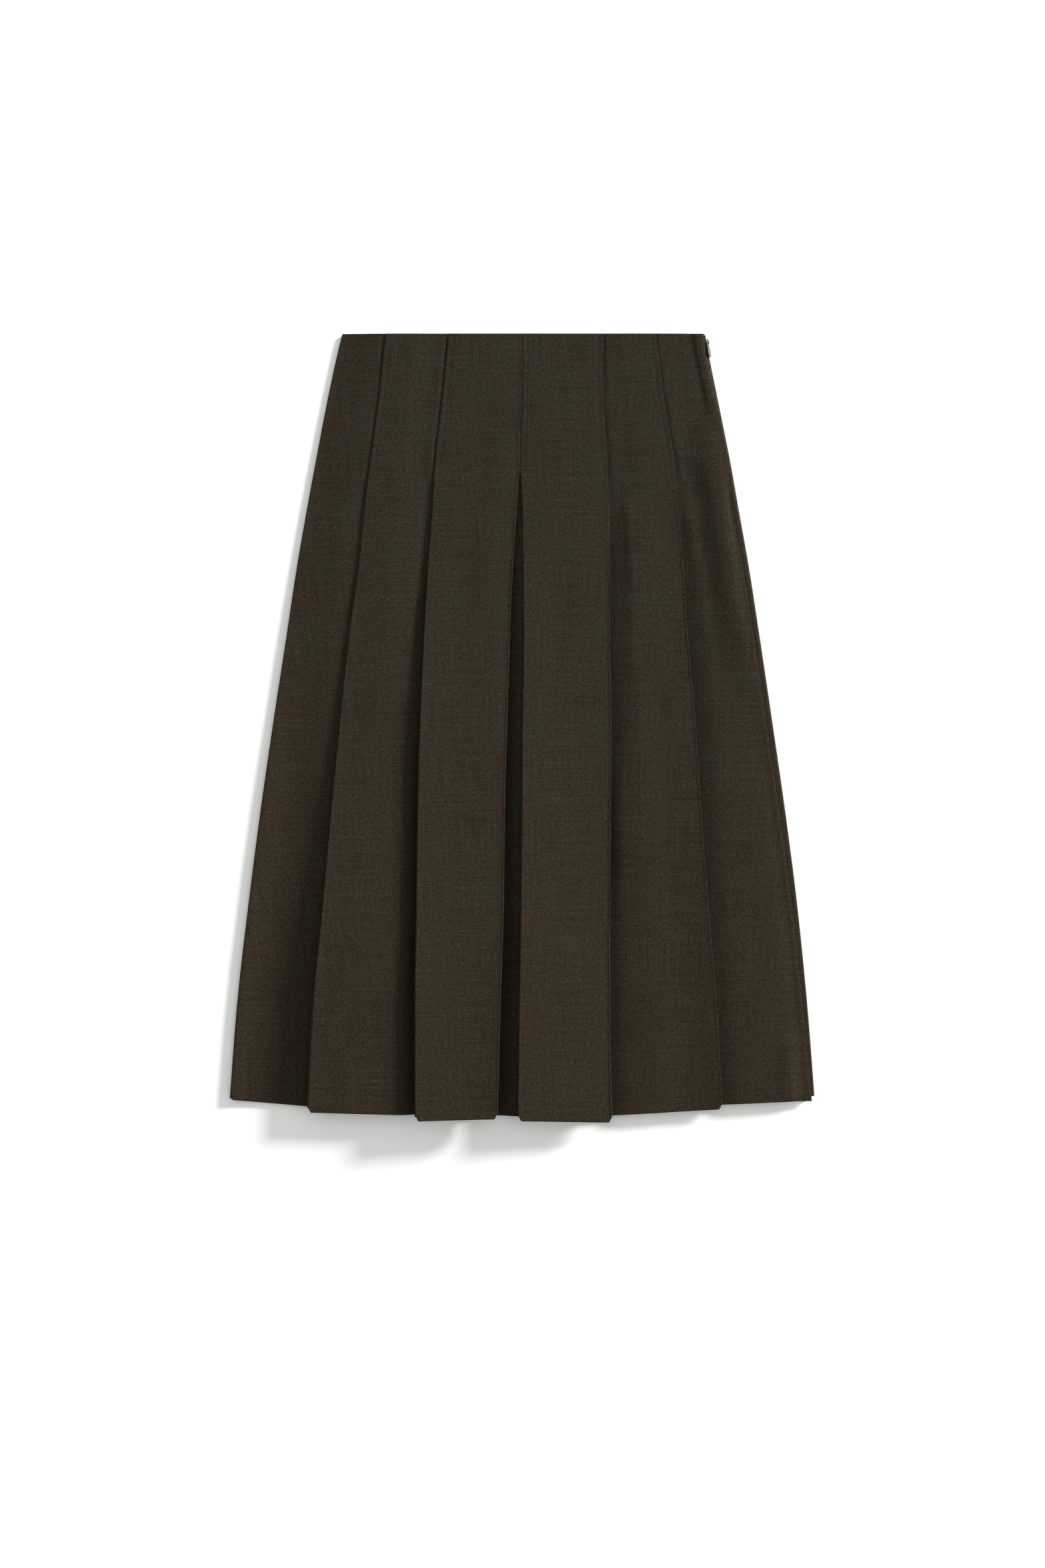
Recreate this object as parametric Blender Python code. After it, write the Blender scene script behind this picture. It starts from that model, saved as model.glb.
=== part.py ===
"""Pleated midi skirt, laid flat with its front up.

Metres, +Z up. X runs across the skirt, to the right as seen from above, and +Y runs up the
skirt to its waist. The skirt rests on Z = 0, with the origin under the middle of its box.

The front is one wall of cloth. From the left edge it runs under each fold and back again, so a
section across it is one long line that never crosses itself: face 1, knife pleat 1, face 2,
knife pleat 2, face 3, the inverted pleat at the centre, face 4, knife pleat 3, face 5,
knife pleat 4, face 6. The pleats are sewn down to a little below the hips and spring open from
there to the hem. The back is a second such wall, pressed flat, with its outer face down. The
two meet at the side seams, and the zip is in the right one.
"""

import math

import bmesh
import bpy
import numpy as np

MM = 0.001

# Cloth
WALL = 1.0 * MM
PLY_GAP = 0.4 * MM  # between plies that lie on each other
PITCH = WALL + PLY_GAP  # from one ply to the next
SEAM_GAP = 0.3 * MM  # between pieces that are sewn together

# The skirt's lengths, down from the waist
WAIST_Y = 385.5 * MM
LENGTH = 771 * MM
SEWN_DOWN = 134 * MM  # how far the pleats are sewn down

# Pleats: the depth of cloth behind each fold
DEPTH_AT_WAIST = 28 * MM
DEPTH_AT_HEM = 36 * MM
STEP_RUN = 15 * MM  # the run in which a face steps down from its pleat's plies

# Where each fold and side edge lies, in mm: how far down from the waist, then the distances
# to the right of the centre line
COLUMNS = ("down", "left", "knife_1", "knife_2", "centre_l", "centre_r", "knife_3", "knife_4", "right")
FRONT_FOLDS = (
    (0, -176, -133, -71.5, 0.5, 0.5, 79.5, 130.5, 179.5),
    (25, -182, -136, -74, 0.5, 0.5, 79, 134, 184),
    (60, -189.5, -139.5, -77.5, 0, 0, 79.5, 138, 190.5),
    (134, -203.5, -149.5, -85.5, -2, -2, 84, 150, 205),
    (170, -210, -154, -87.5, -4.5, 0, 85, 152.5, 211),
    (230, -220.5, -160, -92, -8.5, 1, 86, 158, 221.5),
    (300, -231, -169.5, -96, -11.5, 1.5, 86, 162.5, 232.5),
    (380, -243.5, -178, -99.5, -14, 0.5, 87.5, 169.5, 244.5),
    (470, -256.5, -186.5, -102, -16.5, 0, 87, 175.5, 257.5),
    (560, -268, -194.5, -103, -17.5, -1, 86, 182, 269),
    (660, -279, -204, -104.5, -20.5, -3, 86, 190.5, 279),
    (771, -286.2, -210, -104.5, -23.5, -4.5, 88, 196.5, 286.2),
)
BACK_FOLDS = (
    (0, -176, -131, -76, 0, 0, 76, 131, 179),
    (134, -203.5, -150, -84, 0, 0, 84, 150, 204.5),
    (380, -243.5, -174, -92, -6, 6, 92, 174, 244),
    (771, -286.2, -203, -98, -10, 10, 98, 203, 286.2),
)

# How high each front fold stands above its pressed height, in mm: (down, rise)
FOLD_RISE = {
    "knife_1": ((134, 0), (355, 0.3), (424, 1.4), (490, 3.4), (555, 5.5), (620, 7.6), (650, 8.3), (771, 8.2)),
    "knife_2": (
        (134, 0), (210, 0.2), (250, 0.8), (290, 2.5), (355, 5), (425, 7.3), (490, 9.3), (555, 11.8),
        (620, 14.1), (650, 15.2), (771, 15.2),
    ),
    "centre_l": ((134, 0), (200, 0.3), (300, 2.2), (355, 3.9), (455, 6.8), (555, 10), (650, 12.9), (771, 12.8)),
    "centre_r": ((134, 0), (200, 0.3), (300, 2.1), (355, 3.8), (455, 6.5), (555, 9.5), (650, 11.8), (771, 11.8)),
    "knife_3": ((134, 0), (250, 0.4), (355, 1.6), (455, 3.5), (555, 5.3), (650, 6.8), (771, 6.8)),
    "knife_4": ((134, 0), (200, 0.4), (300, 1), (355, 1.4), (555, 2), (771, 2.2)),
}
FOLD_SOFTENING = 0.04  # how much a fold's radius grows with its rise
FACE_5_CROWN = ((134, 0), (160, 1.4), (200, 3.2), (355, 4), (490, 4.2), (560, 3.2), (771, 3))
FACE_6_CROWN = ((134, 0), (200, 1.6), (355, 2), (771, 2))
UNDERLAY_RISE = ((134, 0), (355, 2.5), (771, 5.5))  # below face 4
# The middle of the front's cloth where it turns down at each side edge, in mm: (down, height)
SIDE_HIGH = {
    "left": ((0, 3.1), (771, 3.2)),
    "right": ((0, 4.7), (60, 4.7), (150, 6), (300, 5.6), (450, 4.6), (771, 4.2)),
}
SIDE_RUN = {"left": 24 * MM, "right": 12 * MM}  # faces 1 and 6 come to that height in this run

# How long the front's cloth is from waist to hem at each place, in mm
HEM = {
    "left": 750.5, "knife_1 under": 759, "knife_1": 761, "knife_2 under": 765, "knife_2": 769,
    "centre_l": 767, "centre_l under": 765, "centre_r under": 765, "centre_r": 769,
    "knife_3": 771, "knife_3 under": 767, "knife_4": 758.5, "knife_4 under": 756, "right": 751,
}
BACK_HEM = {"centre": 758 * MM, "side": 746 * MM}
BACK_TOP_DROP = 1 * MM  # the back's top edge lies this far below the front's

# How far the right side seam lies round the edge towards the front: mm down, mm along the cloth
RIGHT_SEAM = ((0, 1.1), (75, 1.1), (108, 2), (134, 3.4), (165, 7), (230, 8), (380, 8), (500, 7.4), (771, 0))
EDGE_FLAT = 14 * MM  # how far round from the edge the faces' own lines begin
EDGE_LIP = {"front": 3 * MM, "back": 1.6 * MM}  # the strip beside the seam where it lies on a face
ZIP_SLOT = 2.2 * MM  # the seam stands open this far for the slider
ZIP_SLOT_DOWN = (14, 22)  # mm: full width to the first, closed by the second

# Heights of the plies' middles
BACK_LOW = WALL / 2
BACK_HIGH = BACK_LOW + 2 * PITCH
FRONT_LOW = BACK_HIGH + WALL + PLY_GAP
FRONT_HIGH = FRONT_LOW + 2 * PITCH

# The sections along the skirt, as shares of its length
STATIONS = (0, 0.018, 0.03, 0.1, 0.14, 0.174, 0.215, 0.27, 0.34, 0.4, 0.47, 0.56, 0.67, 0.78, 0.89, 1)

# Zip, in mm
ZIP_END = 200
COIL_RADIUS = 0.7
SLIDER_DOWN = 8.5  # from the waist to the middle of the slider's bridge
BARREL = {"radius": 1.1, "up": 4.5, "down": 3.3}
BRIDGE = {
    "half_length": 2.3, "half_width": 0.6, "root": 0.6,
    "leg": 1.0, "chamfer": 0.8, "open_low": 0.5, "open_high": 2.1, "top": 3.1,
}
PULL_THICK = 0.8
PULL_BAR = 0.4  # half the bar that turns in the bridge
PULL_EYE = {"half_width": 0.95, "end": 3.4}
PULL_OUTLINE = ((-0.4, 1.5), (3.9, 1.45), (7, 1.9), (10, 2.4), (12.6, 2.4), (14.6, 1.7), (15.4, 0.9))

COLOURS = {
    "wool cloth": (0.038, 0.030, 0.020),
    "zip tape": (0.020, 0.016, 0.011),
    "antiqued zip metal": (0.11, 0.11, 0.09),
}


def ease(t):
    """From 0 to 1, flat at both ends."""
    t = min(1.0, max(0.0, t))
    return t * t * (3 - 2 * t)


def fade(t):
    """From 1 down to 0, steepest at its start, as a sprung leaf of cloth lies."""
    t = min(1.0, max(0.0, t))
    return (1 - t) ** 2


def at_down(table, down):
    """A length in a table of (mm down, mm), in metres."""
    downs, values = zip(*table)
    return float(np.interp(down / MM, downs, values)) * MM


def folds_at(table, down):
    """Where each fold and side edge is, at this distance below the waist."""
    rows = np.array(table, float) * MM
    return {name: float(np.interp(down, rows[:, 0], rows[:, i])) for i, name in enumerate(COLUMNS) if i}


class Line:
    """The middle line of a section, in rows.

    A row is x, z, the cloth's length from waist to hem, and the way to the wall's upper side
    where the line is an arc at the side edge.
    """

    def __init__(self):
        self.rows = []

    def run(self, stops, height, hems):
        """Points at evenly spaced steps between stops, which are (x, steps) from the second on."""
        start, end = stops[0], stops[-1][0]
        xs = [start]
        for x, steps in stops[1:]:
            xs += list(np.linspace(xs[-1], x, steps + 1)[1:])
        for x in xs:
            t = (x - start) / (end - start)
            self.add(x, height(x), hems[0] + (hems[1] - hems[0]) * t)

    def add(self, x, z, hem, way=None):
        if self.rows and abs(self.rows[-1][0] - x) + abs(self.rows[-1][1] - z) < 1e-7:
            return
        self.rows.append((x, z, hem, way))

    def turn(self, x, z_start, z_end, side, hem):
        """A half round fold with its ends above x, out to the given side."""
        radius = (z_end - z_start) / 2
        for i in (1, 2):
            a = math.pi * i / 3
            self.add(x + side * abs(radius) * math.sin(a), z_start + radius * (1 - math.cos(a)), hem)


def side_edge(side, down):
    """The round edge where front and back meet: which way it faces, its centre and radius."""
    sign = 1 if side == "right" else -1
    radius = (at_down(SIDE_HIGH[side], down) - BACK_LOW) / 2
    outer = folds_at(FRONT_FOLDS, down)[side]
    return sign, outer - sign * (WALL / 2 + radius), BACK_LOW + radius, radius


def on_edge(edge, along):
    """A point and its outward direction, this far round from the outermost line to the front."""
    sign, x, z, radius = edge
    quarter = radius * math.pi / 2
    up = 1 if along > 0 else -1
    if abs(along) > quarter:
        return x - sign * (abs(along) - quarter), z + up * radius, (0.0, up)
    a = along / radius
    return x + sign * radius * math.cos(a), z + radius * math.sin(a), (sign * math.cos(a), math.sin(a))


def seam_along(side, down):
    """Where the side seam lies round the edge, and how far it stands open there."""
    if side == "left":
        return 0.0, SEAM_GAP
    along = at_down(RIGHT_SEAM, down)
    gap = float(np.interp(down, [v * MM for v in ZIP_SLOT_DOWN], [ZIP_SLOT, SEAM_GAP]))
    return along, gap


def front_edge(side, down):
    """The front's line round an edge, from its flat part to the seam."""
    edge = side_edge(side, down)
    seam, gap = seam_along(side, down)
    end = seam + gap / 2
    bend = max(edge[3] * math.pi / 2, end + EDGE_LIP["front"])
    alongs = list(np.linspace(EDGE_FLAT, bend, 3)) + list(np.linspace(bend, end, 4)[1:])
    return [on_edge(edge, a) for a in alongs]


def back_edge(side, down):
    """The back's line round an edge, from its flat part to the seam."""
    edge = side_edge(side, down)
    seam, gap = seam_along(side, down)
    end = seam - gap / 2
    quarter = edge[3] * math.pi / 2
    bend = min(quarter, end - EDGE_LIP["back"])
    alongs = [-EDGE_FLAT] + list(np.linspace(-quarter, bend, 5)) + [end]
    return [(x, z, (-out[0], -out[1])) for x, z, out in (on_edge(edge, a) for a in alongs)]


def knife(line, side, fold, depth, low, rise, hems):
    """A knife pleat's three turns of cloth, from one face to the next.

    side is the way its fold faces. A fold that faces left is reached from the face below it,
    and one that faces right from the face that it ends.
    """
    radius = PITCH / 2 + FOLD_SOFTENING * rise
    under = fold - side * (depth - PITCH / 2)
    top = fold - side * (WALL / 2 + radius)
    high = low + 2 * PITCH + rise
    middle = low + PITCH
    leaf = high - 2 * radius

    def height(x):
        return middle + (leaf - middle) * fade((x - top) / (under - top))

    hem_under, hem_fold = hems
    if side < 0:
        line.turn(under, low, middle, 1, hem_under)
        line.run([under, (top, 2)], height, (hem_under, hem_fold))
        line.turn(top, leaf, high, -1, hem_fold)
    else:
        line.turn(top, high, leaf, 1, hem_fold)
        line.run([top, (under, 2)], height, (hem_fold, hem_under))
        line.turn(under, middle, low, -1, hem_under)


def knife_ends(side, fold, depth, rise):
    """Where the faces on the upper and the lower side of a knife pleat end."""
    radius = PITCH / 2 + FOLD_SOFTENING * rise
    return fold - side * (WALL / 2 + radius), fold - side * (depth - PITCH / 2)


def front_line(share):
    """The front's middle line at one section, from the left seam to the right seam."""
    down = share * LENGTH
    fold = folds_at(FRONT_FOLDS, down)
    fold["centre_l"] -= SEAM_GAP / 2
    fold["centre_r"] += SEAM_GAP / 2
    rise = {name: at_down(table, down) for name, table in FOLD_RISE.items()}
    depth = DEPTH_AT_WAIST + (DEPTH_AT_HEM - DEPTH_AT_WAIST) * share
    hem = {name: mm * MM for name, mm in HEM.items()}
    sides = {"knife_1": -1, "knife_2": -1, "centre_l": 1, "centre_r": -1, "knife_3": 1, "knife_4": 1}
    upper = {}
    under = {}
    for name, side in sides.items():
        upper[name], under[name] = knife_ends(side, fold[name], depth, rise[name])
    left = front_edge("left", down)
    right = front_edge("right", down)
    step = 2 * PITCH
    step_2 = under["knife_1"] + 2 * PITCH
    step_5 = under["knife_4"] - 2 * PITCH
    near_5 = fold["knife_3"] + 5 * MM
    far_5 = step_5 - STEP_RUN
    crown_5 = at_down(FACE_5_CROWN, down)
    crown_6 = at_down(FACE_6_CROWN, down)
    under_rise = at_down(UNDERLAY_RISE, down)

    def pleat(name):
        hems = hem[name + " under"], hem[name]
        knife(line, sides[name], fold[name], depth, FRONT_LOW, rise[name], hems)

    def through(*places):
        """A height that runs straight from each (x, height) to the next."""
        xs, heights = zip(*places)
        return lambda x: float(np.interp(x, xs, heights))

    shape_1 = through((left[0][0], left[0][1] - FRONT_LOW), (left[0][0] + SIDE_RUN["left"], 0))
    shape_2 = through(
        (upper["knife_1"], rise["knife_1"]), (fold["knife_2"] - 11 * MM, 0.95 * rise["knife_1"]),
        (fold["knife_2"] - 1 * MM, 0),
    )
    shape_3 = through(
        (upper["knife_2"], rise["knife_2"]), (upper["knife_2"] + 35 * MM, 0.87 * rise["knife_2"]),
        (upper["centre_l"], rise["centre_l"]),
    )
    shape_4 = through((upper["centre_r"], rise["centre_r"]), (upper["knife_3"], rise["knife_3"]))
    shape_5 = through(
        (fold["knife_3"], 0), (near_5, 0.35 * crown_5), ((near_5 + far_5) / 2, crown_5), (far_5, 0.8 * crown_5),
        (step_5, rise["knife_4"]),
    )
    shape_6 = through(
        (fold["knife_4"], 0), (fold["knife_4"] + 9 * MM, 0.6 * crown_6), (fold["knife_4"] + 22 * MM, crown_6),
        (right[0][0] - SIDE_RUN["right"], crown_6), (right[0][0], right[0][1] - FRONT_LOW),
    )

    def face_2(x):
        return FRONT_LOW + step * ease((step_2 + STEP_RUN - x) / STEP_RUN) + shape_2(x)

    def underlay(x):
        return FRONT_LOW + under_rise * ease(1 - abs(x - fold["centre_r"]) / (14 * MM))

    def face_5(x):
        return FRONT_LOW + step * ease((x - step_5 + STEP_RUN) / STEP_RUN) + shape_5(x)

    line = Line()
    for x, z, way in reversed(left):
        line.add(x, z, hem["left"], way)
    stops = [left[0][0], (left[0][0] + SIDE_RUN["left"], 2), (under["knife_1"], 3)]
    line.run(stops, lambda x: FRONT_LOW + shape_1(x), (hem["left"], hem["knife_1 under"]))
    pleat("knife_1")
    stops = [upper["knife_1"], (step_2, 2), (step_2 + STEP_RUN, 2), (fold["knife_2"] - 11 * MM, 1)]
    stops += [(fold["knife_2"] - 1 * MM, 2), (under["knife_2"], 1)]
    line.run(stops, face_2, (hem["knife_1"], hem["knife_2 under"]))
    pleat("knife_2")
    stops = [upper["knife_2"], (upper["centre_l"], 6)]
    line.run(stops, lambda x: FRONT_HIGH + shape_3(x), (hem["knife_2"], hem["centre_l"]))
    pleat("centre_l")
    hems = hem["centre_l under"], hem["centre_r under"]
    stops = [under["centre_l"], (fold["centre_r"], 2), (fold["centre_r"] + 14 * MM, 2), (under["centre_r"], 1)]
    line.run(stops, underlay, hems)
    pleat("centre_r")
    stops = [upper["centre_r"], (upper["knife_3"], 6)]
    line.run(stops, lambda x: FRONT_HIGH + shape_4(x), (hem["centre_r"], hem["knife_3"]))
    pleat("knife_3")
    stops = [under["knife_3"], (fold["knife_3"], 1), (near_5, 1), (far_5, 2), (step_5, 2), (upper["knife_4"], 2)]
    line.run(stops, face_5, (hem["knife_3 under"], hem["knife_4"]))
    pleat("knife_4")
    stops = [under["knife_4"], (fold["knife_4"], 1), (fold["knife_4"] + 9 * MM, 1)]
    stops += [(right[0][0] - SIDE_RUN["right"], 2), (right[0][0], 2)]
    line.run(stops, lambda x: FRONT_LOW + shape_6(x), (hem["knife_4 under"], hem["right"]))
    for x, z, way in right:
        line.add(x, z, hem["right"], way)
    return line.rows


def back_line(share):
    """The back's middle line at one section, from the left seam to the right seam.

    Its outer face is down, so it is the front's pressed section upside down.
    """
    down = share * LENGTH
    fold = folds_at(BACK_FOLDS, down)
    fold["centre_l"] -= SEAM_GAP / 2
    fold["centre_r"] += SEAM_GAP / 2
    depth = DEPTH_AT_WAIST + (DEPTH_AT_HEM - DEPTH_AT_WAIST) * share
    sides = {"knife_1": -1, "knife_2": -1, "centre_l": 1, "centre_r": -1, "knife_3": 1, "knife_4": 1}
    upper = {}
    under = {}
    for name, side in sides.items():
        upper[name], under[name] = knife_ends(side, fold[name], depth, 0)
    left = back_edge("left", down)
    right = back_edge("right", down)
    low = BACK_LOW
    step = 2 * PITCH
    flat = (0, 0)  # the back's own length is set at the end

    def high(_x):
        return low + step

    def plain(_x):
        return low

    def step_to_high(start):
        return lambda x: low + step * ease((x - start) / STEP_RUN)

    def step_to_low(start):
        return lambda x: low + step * (1 - ease((x - start) / STEP_RUN))

    def pleat(name):
        knife(line, sides[name], fold[name], depth, low, 0, flat)

    line = Line()
    clear = 2 * PITCH
    step_1 = fold["knife_1"] - clear - STEP_RUN
    step_2 = under["knife_1"] + clear
    step_5 = under["knife_4"] - clear - STEP_RUN
    step_6 = fold["knife_4"] + clear
    stops = [left[0][0], (step_1, 1), (step_1 + STEP_RUN, 2), (under["knife_1"], 1)]
    line.run(stops, step_to_low(step_1), flat)
    pleat("knife_1")
    stops = [upper["knife_1"], (step_2, 1), (step_2 + STEP_RUN, 2), (under["knife_2"], 1)]
    line.run(stops, step_to_low(step_2), flat)
    pleat("knife_2")
    line.run([upper["knife_2"], (upper["centre_l"], 2)], high, flat)
    pleat("centre_l")
    line.run([under["centre_l"], (under["centre_r"], 1)], plain, flat)
    pleat("centre_r")
    line.run([upper["centre_r"], (upper["knife_3"], 2)], high, flat)
    pleat("knife_3")
    stops = [under["knife_3"], (step_5, 1), (step_5 + STEP_RUN, 2), (upper["knife_4"], 1)]
    line.run(stops, step_to_high(step_5), flat)
    pleat("knife_4")
    stops = [under["knife_4"], (step_6, 1), (step_6 + STEP_RUN, 2), (right[0][0], 1)]
    line.run(stops, step_to_high(step_6), flat)
    turned = [(x, BACK_LOW + BACK_HIGH - z, None) for x, z, _, _ in line.rows]
    places = list(reversed(left[1:])) + turned + right[1:]
    drop = BACK_HEM["centre"] - BACK_HEM["side"]
    return [(x, z, BACK_HEM["centre"] - drop * (x / fold["right"]) ** 2, way) for x, z, way in places]


def wall_faces(points, outward):
    """The wall's outer and inner points, half its thickness to either side of its middle line.

    outward is 1 where the cloth's outer face is the upper one, and -1 where it is the lower.
    """
    flat = np.array([(x, z) for x, z, _, _ in points])
    ways = np.diff(flat, axis=0)
    ways /= np.linalg.norm(ways, axis=1)[:, None]
    before = np.vstack([ways[:1], ways])
    after = np.vstack([ways, ways[-1:]])
    mean = before + after
    mean /= np.linalg.norm(mean, axis=1)[:, None]
    mitre = np.maximum((mean * after).sum(1), 0.75)
    out = np.stack([-mean[:, 1], mean[:, 0]], axis=1) * (WALL / 2 / mitre)[:, None]
    for i, (_, _, _, way) in enumerate(points):
        if way:
            out[i] = np.array(way) * WALL / 2
    return flat + out * outward, flat - out * outward


def cloth_wall(name, line_at, outward, top_drop, colour):
    """A closed wall of cloth through a section at each station."""
    mesh = bmesh.new()
    rings = []
    for share in STATIONS:
        points = line_at(share)
        outer, inner = wall_faces(points, outward)
        ys = [WAIST_Y - top_drop * (1 - share) - share * hem for _, _, hem, _ in points]
        rings.append([[mesh.verts.new((x, y, z)) for (x, z), y in zip(side, ys)] for side in (outer, inner)])
    last = len(rings[0][0]) - 1
    for (outer_a, inner_a), (outer_b, inner_b) in zip(rings, rings[1:]):
        for i in range(last):
            mesh.faces.new((outer_a[i], outer_b[i], outer_b[i + 1], outer_a[i + 1]))
            mesh.faces.new((inner_a[i + 1], inner_b[i + 1], inner_b[i], inner_a[i]))
        mesh.faces.new((inner_a[0], inner_b[0], outer_b[0], outer_a[0]))
        mesh.faces.new((outer_a[last], outer_b[last], inner_b[last], inner_a[last]))
    for outer, inner in (rings[0], rings[-1]):
        for i in range(last):
            mesh.faces.new((outer[i], outer[i + 1], inner[i + 1], inner[i]))
    return finish(name, mesh, colour)


def finish(name, mesh, colour):
    """An object from a bmesh, with its faces out and its own material."""
    bmesh.ops.recalc_face_normals(mesh, faces=mesh.faces)
    data = bpy.data.meshes.new(name)
    mesh.to_mesh(data)
    mesh.free()
    body = bpy.data.objects.new(name, data)
    bpy.context.scene.collection.objects.link(body)
    material = bpy.data.materials.new(name + " " + colour)
    material.use_nodes = True
    shader = material.node_tree.nodes["Principled BSDF"]
    shader.inputs["Base Color"].default_value = (*COLOURS[colour], 1)
    shader.inputs["Metallic"].default_value = 0.8 if colour == "antiqued zip metal" else 0.0
    shader.inputs["Roughness"].default_value = 0.45 if colour == "antiqued zip metal" else 0.9
    data.materials.append(material)
    return body


def seam_frame(down_mm):
    """The zip's own directions where it lies in the right seam: down it, across it and out."""
    hem = HEM["right"] * MM
    near, far = (down_mm - 2) * MM, (down_mm + 2) * MM
    spots = []
    for down in (near, far):
        edge = side_edge("right", down * LENGTH / hem)
        spots.append(np.array((edge[1], WAIST_Y - down, edge[2])))
    origin = (spots[0] + spots[1]) / 2
    along = (spots[1] - spots[0]) / np.linalg.norm(spots[1] - spots[0])
    seam, _ = seam_along("right", down_mm * MM)
    angle = seam / edge[3]
    level = np.array((-along[1], along[0], 0.0))
    out = level * math.cos(angle) + np.array((0, 0, math.sin(angle)))
    return origin, along, np.cross(along, out), out, edge[3]


def zip_coil():
    """The closed coil and its tape, one slim rod just inside the seam."""
    hem = HEM["right"] * MM
    start = (SLIDER_DOWN + BARREL["down"] + 0.3) * MM
    end = ZIP_END * MM
    downs = [start] + [s * hem for s in STATIONS if start + 2 * MM < s * hem < end - 2 * MM] + [end]
    inward = WALL / 2 + SEAM_GAP + COIL_RADIUS * MM
    sides = 8
    mesh = bmesh.new()
    rings = []
    for down in downs:
        edge = side_edge("right", down * LENGTH / hem)
        seam, _ = seam_along("right", down * LENGTH / hem)
        x, z, out = on_edge(edge, seam)
        middle = (x - out[0] * inward, z - out[1] * inward)
        ring = []
        for i in range(sides):
            a = 2 * math.pi * i / sides
            across = COIL_RADIUS * MM * math.cos(a)
            up = COIL_RADIUS * MM * math.sin(a)
            ring.append(mesh.verts.new((middle[0] + across, WAIST_Y - down, middle[1] + up)))
        rings.append(ring)
    for a, b in zip(rings, rings[1:]):
        for i in range(sides):
            j = (i + 1) % sides
            mesh.faces.new((a[i], a[j], b[j], b[i]))
    mesh.faces.new(rings[0])
    mesh.faces.new(rings[-1])
    return finish("zip_coil", mesh, "zip tape")


def placed(frame, along, across, out):
    """A point of the zip, in mm along, across and out from the slider's middle."""
    origin, down, side, face, _ = frame
    return origin + (down * along + side * across + face * out) * MM


def zip_slider():
    """The slider: a barrel on the coil, a neck through the seam and a bridge for the pull."""
    frame = seam_frame(SLIDER_DOWN)
    skin = frame[4] / MM + WALL / 2 / MM
    sides = 12
    mesh = bmesh.new()
    rings = []
    for along in (-BARREL["up"], BARREL["down"]):
        ring = []
        for i in range(sides):
            a = 2 * math.pi * (i + 0.5) / sides
            spot = placed(frame, along, BARREL["radius"] * math.sin(a), BARREL["radius"] * math.cos(a))
            ring.append(mesh.verts.new(spot))
        rings.append(ring)
    for i in range(sides):
        j = (i + 1) % sides
        mesh.faces.new((rings[0][i], rings[0][j], rings[1][j], rings[1][i]))
    mesh.faces.new(rings[0])
    mesh.faces.new(rings[1])
    barrel = finish("zip_slider", mesh, "antiqued zip metal")

    half, wide, chamfer = BRIDGE["half_length"], BRIDGE["half_width"], BRIDGE["chamfer"]
    inner = half - BRIDGE["leg"]
    low, high, top = (skin + BRIDGE[level] for level in ("open_low", "open_high", "top"))
    outline = [(-half, BRIDGE["root"]), (half, BRIDGE["root"]), (half, top - chamfer), (half - chamfer, top)]
    outline += [(chamfer - half, top), (-half, top - chamfer)]
    hole = [(-inner, low), (inner, low), (inner, high), (-inner, high)]
    bodies = []
    for name, shape, width in (("bridge", outline, wide), ("bridge_hole", hole, wide * 3)):
        arch = bmesh.new()
        ends = [[arch.verts.new(placed(frame, t, s * width, n)) for t, n in shape] for s in (-1, 1)]
        count = len(shape)
        for i in range(count):
            j = (i + 1) % count
            arch.faces.new((ends[0][i], ends[0][j], ends[1][j], ends[1][i]))
        arch.faces.new(ends[0])
        arch.faces.new(ends[1])
        body = finish(name, arch, "antiqued zip metal")
        body.hide_render = True
        body.display_type = "WIRE"
        bodies.append(body)
    for body, action in zip(bodies, ("UNION", "DIFFERENCE")):
        cut = barrel.modifiers.new(action.lower(), "BOOLEAN")
        cut.operation = action
        cut.solver = "EXACT"
        cut.object = body
    return barrel


def zip_pull():
    """The teardrop tab, a plate with an eye whose top bar turns in the slider's bridge."""
    frame = seam_frame(SLIDER_DOWN)
    middle = frame[4] / MM + WALL / 2 / MM + (BRIDGE["open_low"] + BRIDGE["open_high"]) / 2
    outline = list(PULL_OUTLINE) + [(t, -w) for t, w in reversed(PULL_OUTLINE)]
    eye_wide, eye_end = PULL_EYE["half_width"], PULL_EYE["end"]
    eye = [(PULL_BAR, eye_wide), (eye_end - 0.5, eye_wide), (eye_end, eye_wide - 0.5)]
    eye += [(t, -w) for t, w in reversed(eye)]
    mesh = bmesh.new()
    levels = []
    for out in (middle - PULL_THICK / 2, middle + PULL_THICK / 2):
        rim = [mesh.verts.new(placed(frame, t, w, out)) for t, w in outline]
        ring = [mesh.verts.new(placed(frame, t, w, out)) for t, w in eye]
        edges = []
        for loop in (rim, ring):
            edges += [mesh.edges.new((loop[i], loop[(i + 1) % len(loop)])) for i in range(len(loop))]
        bmesh.ops.triangle_fill(mesh, use_beauty=True, use_dissolve=False, edges=edges)
        levels.append((rim, ring))
    for low, high in zip(*levels):
        for i in range(len(low)):
            j = (i + 1) % len(low)
            mesh.faces.new((low[i], low[j], high[j], high[i]))
    return finish("zip_pull", mesh, "antiqued zip metal")


def main():
    for item in list(bpy.data.objects):
        bpy.data.objects.remove(item, do_unlink=True)
    cloth_wall("front_panel", front_line, 1, 0.0, "wool cloth")
    cloth_wall("back_panel", back_line, -1, BACK_TOP_DROP, "wool cloth")
    zip_coil()
    zip_slider()
    zip_pull()


main()
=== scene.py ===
# Pleated midi skirt laid flat with its front up: cloth, sewing, zip, floor, light and camera.
import math
import bpy
import numpy as np
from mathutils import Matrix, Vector, noise


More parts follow.
